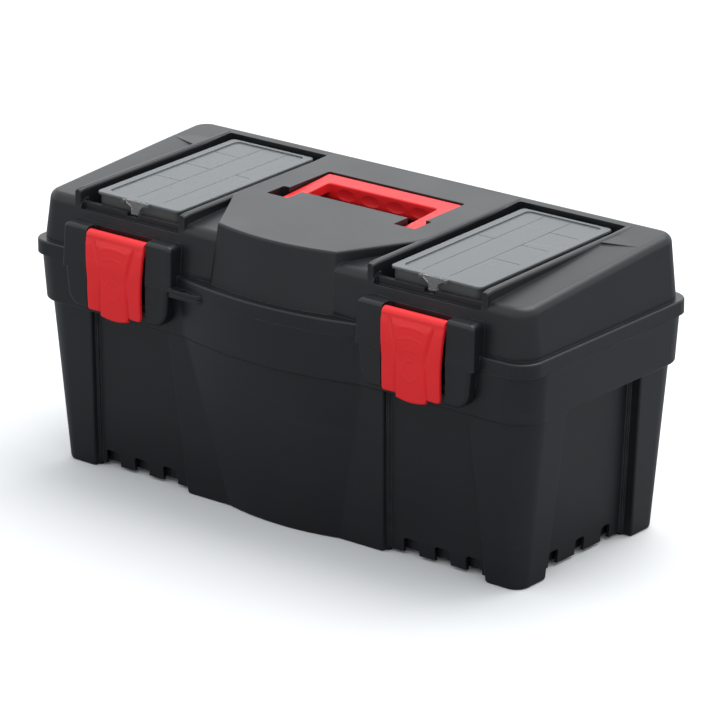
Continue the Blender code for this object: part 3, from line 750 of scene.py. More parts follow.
class RowMaker:
    """Geometry node trees that repeat one rounded shape along a line."""

    def __init__(self) -> None:
        """Build both trees once."""
        self.trees = {RowKind.GATE: self.gate_tree(), RowKind.DIMPLE: self.dimple_tree()}

    @staticmethod
    def start(name: str, floats: Sequence[str], vectors: Sequence[str]) \
            -> tuple[NodeSheet, bpy.types.Node, bpy.types.Node]:
        """Start a tree whose inputs are a count, sizes, vectors and a material.

        Args:
            name: Name of the tree.
            floats: Names of its sizes.
            vectors: Names of its vectors.

        Returns:
            The tree's sheet and its input and output nodes.
        """
        tree = bpy.data.node_groups.new(name, "GeometryNodeTree")
        tree.interface.new_socket("Geometry", in_out="OUTPUT", socket_type="NodeSocketGeometry")
        tree.interface.new_socket("Count", in_out="INPUT", socket_type="NodeSocketInt")
        for label in floats:
            tree.interface.new_socket(label, in_out="INPUT", socket_type="NodeSocketFloat")
        for label in vectors:
            tree.interface.new_socket(label, in_out="INPUT", socket_type="NodeSocketVector")
        tree.interface.new_socket("Material", in_out="INPUT", socket_type="NodeSocketMaterial")
        sheet = NodeSheet(tree)
        return sheet, sheet.add("NodeGroupInput"), sheet.add("NodeGroupOutput")

    @staticmethod
    def close(sheet: NodeSheet, given: bpy.types.Node, out: bpy.types.Node,
              shape: bpy.types.NodeSocket) -> None:
        """Repeat a shape on a line of points, realise it and set its material.

        Args:
            sheet: Sheet of the tree.
            given: Input node of the tree.
            out: Output node of the tree.
            shape: Mesh that is repeated.
        """
        line = sheet.add("GeometryNodeMeshLine")
        line.mode = "OFFSET"
        sheet.wire(given.outputs["Count"], line.inputs["Count"])
        sheet.wire(given.outputs["First"], line.inputs["Start Location"])
        sheet.wire(given.outputs["Step"], line.inputs["Offset"])
        copies = sheet.add("GeometryNodeInstanceOnPoints")
        sheet.wire(line.outputs["Mesh"], copies.inputs["Points"])
        sheet.wire(shape, copies.inputs["Instance"])
        sheet.wire(given.outputs["Turn"], copies.inputs["Rotation"])
        real = sheet.add("GeometryNodeRealizeInstances")
        sheet.wire(copies.outputs["Instances"], real.inputs["Geometry"])
        dressed = sheet.add("GeometryNodeSetMaterial")
        sheet.wire(real.outputs["Geometry"], dressed.inputs["Geometry"])
        sheet.wire(given.outputs["Material"], dressed.inputs["Material"])
        sheet.wire(dressed.outputs["Geometry"], out.inputs["Geometry"])

    def gate_tree(self) -> bpy.types.NodeTree:
        """Closed blocks with a round-cornered face, repeated along a line."""
        sheet, given, out = self.start("Row of gates", ("Width", "Height", "Length", "Corner"),
                                       ("First", "Step", "Turn"))
        face = sheet.add("GeometryNodeCurvePrimitiveQuadrilateral")
        sheet.wire(given.outputs["Width"], face.inputs["Width"])
        sheet.wire(given.outputs["Height"], face.inputs["Height"])
        fillet = sheet.add("GeometryNodeFilletCurve")
        fillet.mode = "POLY"
        fillet.inputs["Count"].default_value = 8
        sheet.wire(face.outputs["Curve"], fillet.inputs["Curve"])
        sheet.wire(given.outputs["Corner"], fillet.inputs["Radius"])
        fill = sheet.add("GeometryNodeFillCurve")
        fill.mode = "NGONS"
        sheet.wire(fillet.outputs["Curve"], fill.inputs["Curve"])
        push = sheet.add("GeometryNodeExtrudeMesh")
        push.inputs["Individual"].default_value = False
        sheet.wire(fill.outputs["Mesh"], push.inputs["Mesh"])
        sheet.wire(given.outputs["Length"], push.inputs["Offset Scale"])
        flip = sheet.add("GeometryNodeFlipFaces")
        sheet.wire(fill.outputs["Mesh"], flip.inputs["Mesh"])
        both = sheet.add("GeometryNodeJoinGeometry")
        sheet.wire(push.outputs["Mesh"], both.inputs["Geometry"])
        sheet.wire(flip.outputs["Mesh"], both.inputs["Geometry"])
        weld = sheet.add("GeometryNodeMergeByDistance")
        weld.inputs["Distance"].default_value = 1e-6
        sheet.wire(both.outputs["Geometry"], weld.inputs["Geometry"])
        self.close(sheet, given, out, weld.outputs["Geometry"])
        return sheet.tree

    def dimple_tree(self) -> bpy.types.NodeTree:
        """Stretched balls repeated along a line."""
        sheet, given, out = self.start("Row of dimples", ("Radius",), ("First", "Step", "Turn", "Stretch"))
        ball = sheet.add("GeometryNodeMeshUVSphere")
        ball.inputs["Segments"].default_value = 40
        ball.inputs["Rings"].default_value = 24
        sheet.wire(given.outputs["Radius"], ball.inputs["Radius"])
        shape = sheet.add("GeometryNodeTransform")
        sheet.wire(ball.outputs["Mesh"], shape.inputs["Geometry"])
        sheet.wire(given.outputs["Stretch"], shape.inputs["Scale"])
        self.close(sheet, given, out, shape.outputs["Geometry"])
        return sheet.tree

    def make(self, kind: RowKind, name: str, finish: Finish, **values: object) -> bpy.types.Object:
        """Make one row as a plain mesh.

        Args:
            kind: Shape that is repeated.
            name: Name of the object.
            finish: Finish that the tree sets.
            values: The tree's inputs in metres and radians, with underscores for spaces.

        Returns:
            The row as a mesh object.
        """
        obj = make_object(name, [], [])
        modifier = obj.modifiers.new("Row", "NODES")
        tree = self.trees[kind]
        modifier.node_group = tree
        given = {key.replace("_", " ").capitalize(): value for key, value in values.items()}
        given["Material"] = finish.material
        for item in tree.interface.items_tree:
            if item.item_type == "SOCKET" and item.in_out == "INPUT" and item.name in given:
                modifier[item.identifier] = given[item.name]
        flatten(obj)
        return obj


# ---- the box: tub and lid ---------------------------------------------------------------------
@dataclass(frozen=True)
class Level:
    """Sizes of the box's outline at one height.

    t is 0 at the feet and 1 at the band, depths are those of the front and the end panels, step
    is the height of the low ledge along each panel's edges, shrink moves the outline inwards and
    bulge is how far the front bows out.
    """
    half_x: float
    half_y: float
    radius: float
    t: float
    depths: tuple[float, float]
    step: float
    shrink: float
    bulge: float


@dataclass
class BoxPlan:
    """Plan outlines that the tub and the lid share."""
    half_x: float
    half_y: float
    bulge_half: tuple[float, float] = (61.0, 98.0)
    bulge_out: tuple[float, float] = (8.0, 14.5)
    section: tuple[float, float] = (109.5, 120.0)
    post: tuple[float, float] = (219.0, 208.0)
    end_post: tuple[float, float] = (62.0, 52.0)
    corner: tuple[float, float] = (13.5, 30.0)
    band_low: float = 154.0
    band_high: float = 196.0
    band_draft: float = 0.07
    overhang: float = 6.0
    draft: float = 14.0
    panel: float = 7.0
    end_panel: float = 11.0
    ledge_step: float = 2.2
    ledge_places: tuple[float, float, float] = (0.8, 3.2, 3.5)

    @staticmethod
    def between(pair: tuple[float, float], t: float) -> float:
        """Value between the feet (0) and the band (1)."""
        return pair[0] + (pair[1] - pair[0]) * t

    def quarter(self, level: Level, bow: float) -> list[Corner]:
        """Corners of the right front quarter, from the middle of the front to the middle of the end.

        Args:
            level: Sizes at this height.
            bow: Half width of the bowed part, or 0 where there is none.

        Returns:
            Corners for rounded().
        """
        shrink, (panel, end_panel) = level.shrink, level.depths
        inner = self.between(self.section, level.t) - shrink
        outer = self.between(self.post, level.t) + shrink
        end = self.between(self.end_post, level.t) + shrink
        low, end_low = max(0.0, panel - level.step), max(0.0, end_panel - level.step)
        near, far, foot = self.ledge_places
        x, y = level.half_x - shrink, level.half_y - shrink
        corners: list[Corner] = [(bow, -y, 5.0, 4)] if bow else []
        corners += [(inner, -y, 1.6, 3), (inner + near, -y + low, 0.5, 1), (inner + far, -y + low, 0.5, 1),
                    (inner + foot, -y + panel, 0.6, 1), (outer - foot, -y + panel, 0.6, 1),
                    (outer - far, -y + low, 0.5, 1), (outer - near, -y + low, 0.5, 1), (outer, -y, 1.6, 3)]
        r = max(level.radius - shrink, 2.0)
        corners += [(px, py, 0.0, 0) for px, py in arc((x - r, -y + r), r, -90, 0, 14)]
        corners += [(x, -end, 1.6, 3), (x - end_low, -end + near, 0.5, 1), (x - end_low, -end + far, 0.5, 1),
                    (x - end_panel, -end + foot, 0.6, 1)]
        return corners

    def outline(self, level: Level) -> Plan:
        """Whole outline, counter-clockwise from the right end of the bow.

        Args:
            level: Sizes at this height.

        Returns:
            The outline.
        """
        bulge = level.bulge
        bow = self.between(self.bulge_half, level.t) - level.shrink * 0.3
        front, back = self.quarter(level, bow), self.quarter(level, 0.0)
        right = front + [(x, -y, r, n) for x, y, r, n in reversed(back)]
        arch: list[Corner] = []
        curve = (bow * bow + bulge * bulge) / (2 * bulge) if bulge else 0.0
        for i in range(1, 32):
            x = -bow + 2 * bow * i / 32
            sag = math.sqrt(curve ** 2 - x * x) - (curve - bulge) if bulge else 0.0
            arch.append((x, -(level.half_y - level.shrink) - sag, 0.0, 0))
        return rounded(right + mirrored(right) + arch)

    def band(self, shrink: float = 0.0, radius: float | None = None, z: float | None = None) -> Plan:
        """Outline of the band.

        Args:
            shrink: How far it is moved inwards.
            radius: Plan corner radius; the band's own if left out.
            z: Height, for the band's draft; no draft if left out.

        Returns:
            The outline.
        """
        shrink += max(0.0, self.band_high - z) * self.band_draft if z is not None else 0.0
        return self.outline(Level(self.half_x, self.half_y, radius or self.corner[1], 1.0, (0.0, 0.0), 0.0,
                                  shrink, self.bulge_out[1]))

    def wall(self, z: float, shrink: float = 0.0, step: float | None = None) -> Plan:
        """Outline of the tub's panelled wall.

        Args:
            z: Height under the band.
            shrink: How far it is moved inwards.
            step: Height of the ledge along each panel's edges; the outside's own if left out.

        Returns:
            The outline.
        """
        t = z / self.band_low
        set_in = self.overhang + self.draft * (1 - t)
        ledge = self.ledge_step if step is None else step
        return self.outline(Level(self.half_x - set_in, self.half_y - set_in, self.between(self.corner, t),
                                  t, (self.panel, self.end_panel), ledge, shrink,
                                  self.between(self.bulge_out, t)))


@dataclass
class Body:
    """Sizes that the tub and the lid both need, and the shapes they share."""
    places: Places
    finishes: Finishes
    rows: RowMaker
    plan: BoxPlan
    wall: float = 2.6
    ledge: float = 209.0
    bracket_half: float = 62.0
    bracket_face: float = -129.0
    bracket_lean: float = 2.6
    bracket_step: float = 0.8
    bracket_low: float = 162.0
    bracket_high: float = 236.0
    bracket_edge: float = 3.4
    notch: float = 34.0
    pin_r: float = 2.4
    barrel_r: float = 6.7
    ear_holes: tuple[tuple[tuple[float, float], float], ...] = (((-90.0, -124.4), 3.2),
                                                               ((-79.0, -126.2), 1.5))

    def barrel(self, x: tuple[float, float], web: tuple[float, float]) -> bpy.types.Object:
        """Make a hinge knuckle with a web to the back of the box.

        Args:
            x: Where it starts and ends.
            web: Lowest and highest height of the web, from the hinge's axis.

        Returns:
            The knuckle.
        """
        y, z = self.places.hinge_axis
        knuckle = rod("knuckle", x, (y, z), self.barrel_r, 0.6, 40)
        return join(knuckle, block("web", (x[0] + 0.4, x[1] - 0.4), (self.places.back - 1.5, y),
                                   (z + web[0], z + web[1])))

    def pin_holes(self) -> list[bpy.types.Object]:
        """Cutters for both hinges' pins."""
        x, axis = self.places.hinge_x, self.places.hinge_axis
        return [rod("hole", spread(side.value * x, -45, 45), axis, self.pin_r) for side in Side]

    def bracket(self, side: Side, z: tuple[float, float], back: float, upper: bool) -> bpy.types.Object:
        """Make one half of a latch bracket, rounded towards the front.

        Args:
            side: End of the box that it is at.
            z: Lowest and highest height.
            back: Y of its back, inside the wall.
            upper: Whether it is the lid's half, which leans back, or the tub's, which is set back.

        Returns:
            The half.
        """
        half, mid = self.bracket_half, side.value * self.places.latch_x
        if upper:
            right: list[Corner] = [(half + 0.6, z[0], 0, 0), (half - 0.8, z[1], 4.5, 7)]
        else:
            right = [(half - 13, z[0], 6.0, 5), (half - 5.7, z[0] + 8, 7.0, 6), (half - 2.8, z[1], 0, 0)]
        left = mirrored(right)
        corners = left[-1:] + right + left[:-1]
        outline = rounded([(mid + px, pz, r, n) for px, pz, r, n in corners])
        rings = [[(px, back, pz) for px, pz in outline]]
        seam = z[0] if upper else z[1]
        lean = self.bracket_lean / (z[1] - z[0]) if upper else 0.0
        for inwards, drop in rounding(self.bracket_edge, 6):
            ring = inset(outline, inwards)
            y = self.bracket_face + drop + (0.0 if upper else self.bracket_step)
            rings.append([(px, y + lean * (pz - z[0]), seam if abs(qz - seam) < 0.5 else pz)
                          for (px, pz), (_, qz) in zip(ring, outline)])
        return loft("bracket", rings)

    def ear(self, z: tuple[float, float]) -> bpy.types.Object:
        """Make one half of the padlock ear, with its padlock hole and small seal hole.

        Args:
            z: Lowest and highest height.

        Returns:
            The half.
        """
        plan = rounded_rect((-self.places.latch_x + self.bracket_half - 3, -68.0), (-128.5, -112.0), 4.0)
        ear = upright("ear", plan, z[0], z[1], 0.6)
        for centre, radius in self.ear_holes:
            cut(ear, upright("hole", arc(centre, radius, 0, 345, 23), z[0] - 1, z[1] + 1))
        return ear


@dataclass
class Tub(Body):
    """Open tub with feet, recessed panels, band, latch catches and hinge knuckles."""
    basin: float = 7.6
    floor: tuple[float, float] = (4.6, 7.2)
    shelf: tuple[float, float] = (26.0, 28.6)
    tray_step: float = 156.5
    band_edge: float = 1.6
    tooth_z: float = 3.0
    gate_top: float = 16.5
    bracket_back: float = -117.5

    def rings(self) -> list[Ring]:
        """Rings from the inside floor up, over the rim and down to the feet and the underside."""
        plan, seam, low = self.plan, self.places.seam, self.plan.band_low
        rings = [at(plan.wall(self.shelf[1], self.basin + self.wall, 0.0), self.floor[1]),
                 at(plan.wall(self.shelf[1], self.basin + self.wall, 0.0), self.shelf[1]),
                 at(plan.wall(self.shelf[1], self.wall, 0.0), self.shelf[1]),
                 at(plan.wall(low - 1, self.wall, 0.0), self.tray_step),
                 at(plan.band(self.wall + 2.9), self.tray_step), at(plan.band(self.wall), seam - 0.6),
                 at(plan.band(self.wall - 0.6), seam), at(plan.band(0.05), seam),
                 at(plan.band(0.0), seam - 0.1)]
        for inwards, rise in rounding(self.band_edge, 5):
            z = low + rise - 0.6
            rings.append(at(plan.band(inwards, None, z), z))
        rings += [at(plan.wall(low - 1.2, -0.6), low - 0.9), at(plan.wall(low - 2.0, -0.2), low - 1.6),
                  at(plan.wall(low - 3.4), low - 3.4), at(plan.wall(2.4), 2.4), at(plan.wall(0.9, 0.5), 0.9),
                  at(plan.wall(0.0, 1.6), 0.0), at(plan.wall(0.0, self.wall + 0.8, 0.0), 0.0),
                  at(plan.wall(self.shelf[0], self.wall, 0.0), self.shelf[0]),
                  at(plan.wall(self.shelf[0], self.basin, 0.0), self.shelf[0]),
                  at(plan.wall(self.shelf[0], self.basin, 0.0), self.floor[0])]
        return rings

    def gates(self) -> list[bpy.types.Object]:
        """Cutters for the teeth at the foot of every recessed panel."""
        cutters = []
        half_x, half_y = self.plan.half_x - 20, self.plan.half_y - 20
        inner, outer = self.plan.section[0] + 2.0, self.plan.post[0] - 2.0
        quarter, depth, tall = math.pi / 2, 7.2, 33.0
        for front in (-1, 1):
            wall_y = front * (half_y - self.plan.panel)
            for side in Side:
                s = side.value
                cutters.append(block("edge", spread(0, s * inner, s * outer), spread(wall_y, -6, 6),
                                     (-5, self.tooth_z)))
                first = s * (inner + 24)
                cutters.append(self.rows.make(
                    RowKind.GATE, "gates", self.finishes.black, count=3, width=0.017, height=tall * MM,
                    length=depth * MM, corner=0.004, turn=(quarter, 0.0, 0.0), step=(s * 0.0335, 0.0, 0.0),
                    first=(first * MM, (wall_y + depth / 2) * MM, (self.gate_top - tall / 2) * MM)))
        for side in Side:
            s = side.value
            wall_x = s * (half_x - self.plan.end_panel)
            reach = self.plan.end_post[0] - 2.0
            cutters.append(block("edge", spread(wall_x, -6, 6), (-reach, reach), (-5, self.tooth_z)))
            cutters.append(self.rows.make(
                RowKind.GATE, "gates", self.finishes.black, count=3, width=0.013, height=tall * MM,
                length=depth * MM, corner=0.003, turn=(quarter, 0.0, quarter), step=(0.0, 0.0375, 0.0),
                first=((wall_x - depth / 2) * MM, -0.0375, (self.gate_top - tall / 2) * MM)))
        return cutters

    def build(self) -> None:
        """Build the tub, give it to the frame and dress the hinge pins."""
        tub = loft("tub", self.rings())
        cut(tub, *self.gates())
        for side in Side:
            mid = side.value * self.places.latch_x
            lane, back = (mid - self.notch, mid + self.notch), self.bracket_back
            bracket = self.bracket(side, (self.bracket_low, self.places.seam), back, False)
            cut(bracket, upright("notch", rounded_rect(lane, (CUTTER_FRONT, back - 0.9), 1.5), 150, 210))
            catch = rounded([(back, 166, 0, 0), (-123, 168.5, 1, 2), (-124.4, 170, 1, 2),
                             (-124.4, 174.5, 1, 2), (back, 177, 0, 0)])
            join(tub, bracket, across("catch", catch, lane))
            join(tub, self.barrel(spread(side.value * self.places.hinge_x, -15, 15), (-6.5, -0.6)))
        join(tub, self.ear((self.places.seam - 3.4, self.places.seam)))
        cut(tub, *self.pin_holes())
        hand_in(dress(tub, "tub_shell", self.finishes.black), "tub", "black_plastic", "tub_body")
        for side in Side:
            refinish("hinge_pin_" + side.word, self.finishes.steel)


@dataclass
class Lid(Body):
    """Lid with a raised middle, organizer pockets, handle well and latch brackets."""
    wall_inset: float = 5.0
    corner_r: float = 21.5
    rim_corner: float = 20.0
    top_edge: float = 8.0
    lean: float = 4.2
    crease: tuple[float, float] = (52.0, 263.3)
    pitches: tuple[float, float] = (0.07, 0.06)
    rim_edge: float = 1.8
    middle_half: float = 64.0
    middle_out: float = 9.0
    middle_front: float = -107.7
    bracket_back: float = -108.0
    pocket_half: float = 56.5
    pocket_y: tuple[float, float] = (-100.5, 94.5)
    pocket_floor: float = 236.0
    rail: float = 7.0
    rail_front: float = -109.0
    rail_low: float = 202.0
    rail_crown: float = 2.8
    shelf: float = 250.0
    shelf_front: float = -105.0
    tread: float = 244.0
    handle_half: float = 74.0
    well_y: tuple[float, float] = (-0.5, 58.3)
    well_floor: float = 238.0

    def slope(self, _x: float, y: float) -> float:
        """Height of the ends of the lid: a slope up to the crease, then a flatter back."""
        return self.crease[1] + (y - self.crease[0]) * self.pitches[0 if y < self.crease[0] else 1]

    def rail_top(self, y: float) -> float:
        """Height of the rails beside the organizers, with a drooping front end."""
        ahead = max(0.0, -100.0 - y) / 9.0
        return 262.2 + (y - self.rail_front) * 0.020 - 1.2 * ahead ** 2

    def lid_plan(self, distance: float) -> Plan:
        """Outline of the lid's wall with points where the crease crosses the ends.

        Args:
            distance: How far it is moved inwards.

        Returns:
            The outline.
        """
        half_x = self.plan.half_x - self.wall_inset - distance
        half_y = self.plan.half_y - self.wall_inset - distance
        r, crease = max(self.corner_r - distance, 3.0), self.crease[0]
        plan = [(half_x, -crease), (half_x, crease)] + arc((half_x - r, half_y - r), r, 0, 90, 16)
        plan += arc((-half_x + r, half_y - r), r, 90, 180, 16) + [(-half_x, crease), (-half_x, -crease)]
        plan += arc((-half_x + r, -half_y + r), r, 180, 270, 16)
        return plan + arc((half_x - r, -half_y + r), r, 270, 360, 16)

    def bowl(self, name: str, distance: float, low: float) -> bpy.types.Object:
        """Make the solid under the lid's rounded top.

        Args:
            name: Name of the object.
            distance: How far its surface is moved inwards.
            low: Height of its underside.

        Returns:
            The solid.
        """
        rings = [at(self.lid_plan(distance), low), at(self.lid_plan(distance), self.ledge + 4.0)]
        for inwards, drop in rounding(self.top_edge, 8):
            outline = self.lid_plan(distance + self.lean + inwards)
            rings.append([(x, y, self.slope(x, y) - (drop + distance)) for x, y in outline])
        last = rings[-1]
        front = [i for i, p in enumerate(last) if p[1] < self.crease[0] + 0.01]
        back = [i for i, p in enumerate(last) if p[1] > self.crease[0] - 0.01]
        return loft(name, rings, end_caps=[front, back])

    def plateau(self, name: str, distance: float, low: float, edge: float) -> bpy.types.Object:
        """Make the raised middle, with a bowed front that leans out towards the rim.

        Args:
            name: Name of the object.
            distance: How far its surface is moved inwards.
            low: Height of its underside.
            edge: Radius of its upper edge.

        Returns:
            The solid.
        """
        half, out, front = self.middle_half, self.middle_out, self.middle_front
        curve = (half ** 2 + out ** 2) / (2 * out)
        corners: list[Corner] = [(-half, front, 3.0, 4)]
        for i in range(1, 24):
            x = -half + 2 * half * i / 24
            corners.append((x, front - (math.sqrt(curve ** 2 - x * x) - (curve - out)), 0, 0))
        shoulder: list[Corner] = [(97, -51, 8, 5), (106, -38, 6, 4), (106, 100, 0, 0)]
        plan = rounded(corners + [(half, front, 3.0, 4)] + shoulder + mirrored(shoulder))

        def top(_x: float, y: float) -> float:
            """Height of the upper face."""
            return 262.5 + (y + 108.0) * 0.02 - distance

        outline = inset(plan, distance) if distance else plan
        rings = []
        for share in (1.0, 0.0):
            ring = []
            for x, y in outline:
                lean = share if y < -60 else 0.0
                z = low if share else top(x, y) - edge
                ring.append((x * (1 + 0.06 * lean), y - 9.0 * lean, z))
            rings.append(ring)
        return loft(name, rings + below(outline, top, rounding(edge, 5)[1:] if edge else []))

    def rail_bar(self, x: tuple[float, float]) -> bpy.types.Object:
        """Make one rail with a round crown and a drooping front end.

        Args:
            x: Where it starts and ends.

        Returns:
            The rail.
        """
        r, rings, front = self.rail_crown, [], self.rail_front
        for y in (front, front + 0.5, front + 1.5, -105.0, -102.0, -99.0, -40.0, 20.0, 70.0, 96.0):
            top = self.rail_top(y)
            half = (x[1] - x[0]) / 2 - max(0.0, front + 1.5 - y) * 0.5
            mid = (x[0] + x[1]) / 2
            crown = arc((mid + half - r, top - r), r, 0, 90, 5)
            crown += arc((mid - half + r, top - r), r, 90, 180, 5)
            ring = [(mid + half, self.rail_low)] + crown + [(mid - half, self.rail_low)]
            rings.append([(px, y, pz) for px, pz in ring])
        return loft("rail", rings)

    def hollows(self, grow: float) -> list[bpy.types.Object]:
        """Make the cutters for the pockets, the handle well and its pivot slots.

        Args:
            grow: How far they are grown outwards.

        Returns:
            The cutters.
        """
        hollows = []
        for side in Side:
            s, mid, half = side.value, side.value * self.places.organizer_x, self.pocket_half + grow
            hollows += [("pocket", (mid - half, mid + half), self.pocket_y, 2.5, self.pocket_floor),
                        ("slot", spread(0, s * (58.5 - grow), s * (82 + grow)), (-20.5, 3.0), 1.6, 246.0)]
        well = self.handle_half + 1.6 + grow
        hollows.append(("well", (-well, well), self.well_y, 2.5, self.well_floor))
        return [upright(name, rounded_rect(x, (y[0] - grow, y[1] + grow), radius), floor - grow, ABOVE)
                for name, x, y, radius, floor in hollows]

    def steps(self, grow: float) -> list[bpy.types.Object]:
        """Make the cutters for the stepped front between the rails: a shelf and a lower tread.

        Args:
            grow: How far they are grown outwards.

        Returns:
            The cutters.
        """
        solids = []
        for side in Side:
            mid, half = side.value * self.places.organizer_x, self.pocket_half + grow - 0.15
            lane, shelf_back = (mid - half, mid + half), self.pocket_y[0] + 0.5
            solids.append(block("tread", lane, (-140, self.shelf_front + grow), (self.tread - grow, 291)))
            solids.append(block("shelf", lane, (-141, shelf_back + grow), (self.shelf - grow, 292)))
        return solids

    def crease_wedge(self, side: Side) -> bpy.types.Object:
        """Make the thin wedge at the crease, which fades out from the outer rail to the end.

        Args:
            side: End of the box that it is at.

        Returns:
            The wedge.
        """
        s = side.value
        places = [(226.0, 49.0, 1.5), (257.0, 59.5, 0.05), (252.0, 92.0, -1.0), (226.0, 92.0, -1.0)]
        low = [(s * x, y, self.slope(x, y) - 4) for x, y, _ in places]
        high = [(s * x, y, self.slope(x, y) + up) for x, y, up in places]
        return loft("wedge", [low, high])

    def build(self) -> None:
        """Build the lid and give it to the frame."""
        plan, seam = self.plan, self.places.seam
        levels = [(0.1, seam + 0.2), (0.0, seam + 0.3)]
        levels += [(inwards, self.ledge - drop) for inwards, drop in rounding(self.rim_edge, 5)]
        rim = [at(plan.band(inwards, self.rim_corner), z) for inwards, z in levels]
        lid = loft("lid", rim)
        join(lid, self.bowl("bowl", 0.0, seam + 3), self.plateau("plateau", 0.0, seam + 3, 2.2))
        for side in Side:
            mid = side.value * self.places.organizer_x
            half, lip = self.pocket_half, self.pocket_half + 0.5
            for edge in (-1, 1):
                join(lid, self.rail_bar(spread(mid, edge * half, edge * (half + self.rail))))
            lip_plan = rounded_rect((mid - lip, mid + lip), (self.shelf_front, self.pocket_y[0] + 2), 1.4)
            join(lid, upright("lip", lip_plan, seam + 6, self.shelf, 0.8), self.crease_wedge(side),
                 self.bracket(side, (seam + 0.5, self.bracket_high), self.bracket_back, True))
        join(lid, self.ear((seam + 0.4, seam + 3.8)))
        cut(lid, *self.hollows(0.0), *self.steps(0.0))
        cavity = join(self.bowl("cavity", self.wall, seam - 10),
                      self.plateau("rise", self.wall, seam - 10, 0.0))
        cut(cavity, *self.hollows(self.wall), *self.steps(self.wall))
        cut(lid, cavity)
        for side in Side:
            self.fittings(lid, side)
        cut(lid, *self.pin_holes())
        hand_in(dress(lid, "lid_cover", self.finishes.black), "lid", "black_plastic", "lid_shell")

    def fittings(self, lid: bpy.types.Object, side: Side) -> None:
        """Cut one side's latch notch, sockets and clip slot, and add its hinge knuckles.

        Args:
            lid: The lid.
            side: End of the box.
        """
        s, mid, org = side.value, side.value * self.places.latch_x, side.value * self.places.organizer_x
        notch_plan = rounded_rect((mid - self.notch, mid + self.notch), (-150, -114.8), 1.5)
        clip_plan = rounded_rect((org - 6, org + 6), (-106, self.pocket_y[0] + 1.5), 0.8)
        cut(lid, upright("notch", notch_plan, 190, 260),
            rod("socket", (mid - self.notch - 4, mid + self.notch + 4), self.places.latch_axis, 2.6),
            upright("clip", clip_plan, 246.5, ABOVE),
            rod("pivot", spread(0, s * 81, s * 86), self.places.handle_axis, 3.4))
        for edge in (-1, 1):
            join(lid, self.barrel(spread(s * self.places.hinge_x, edge * 15.6, edge * 30), (0.3, 6.5)))


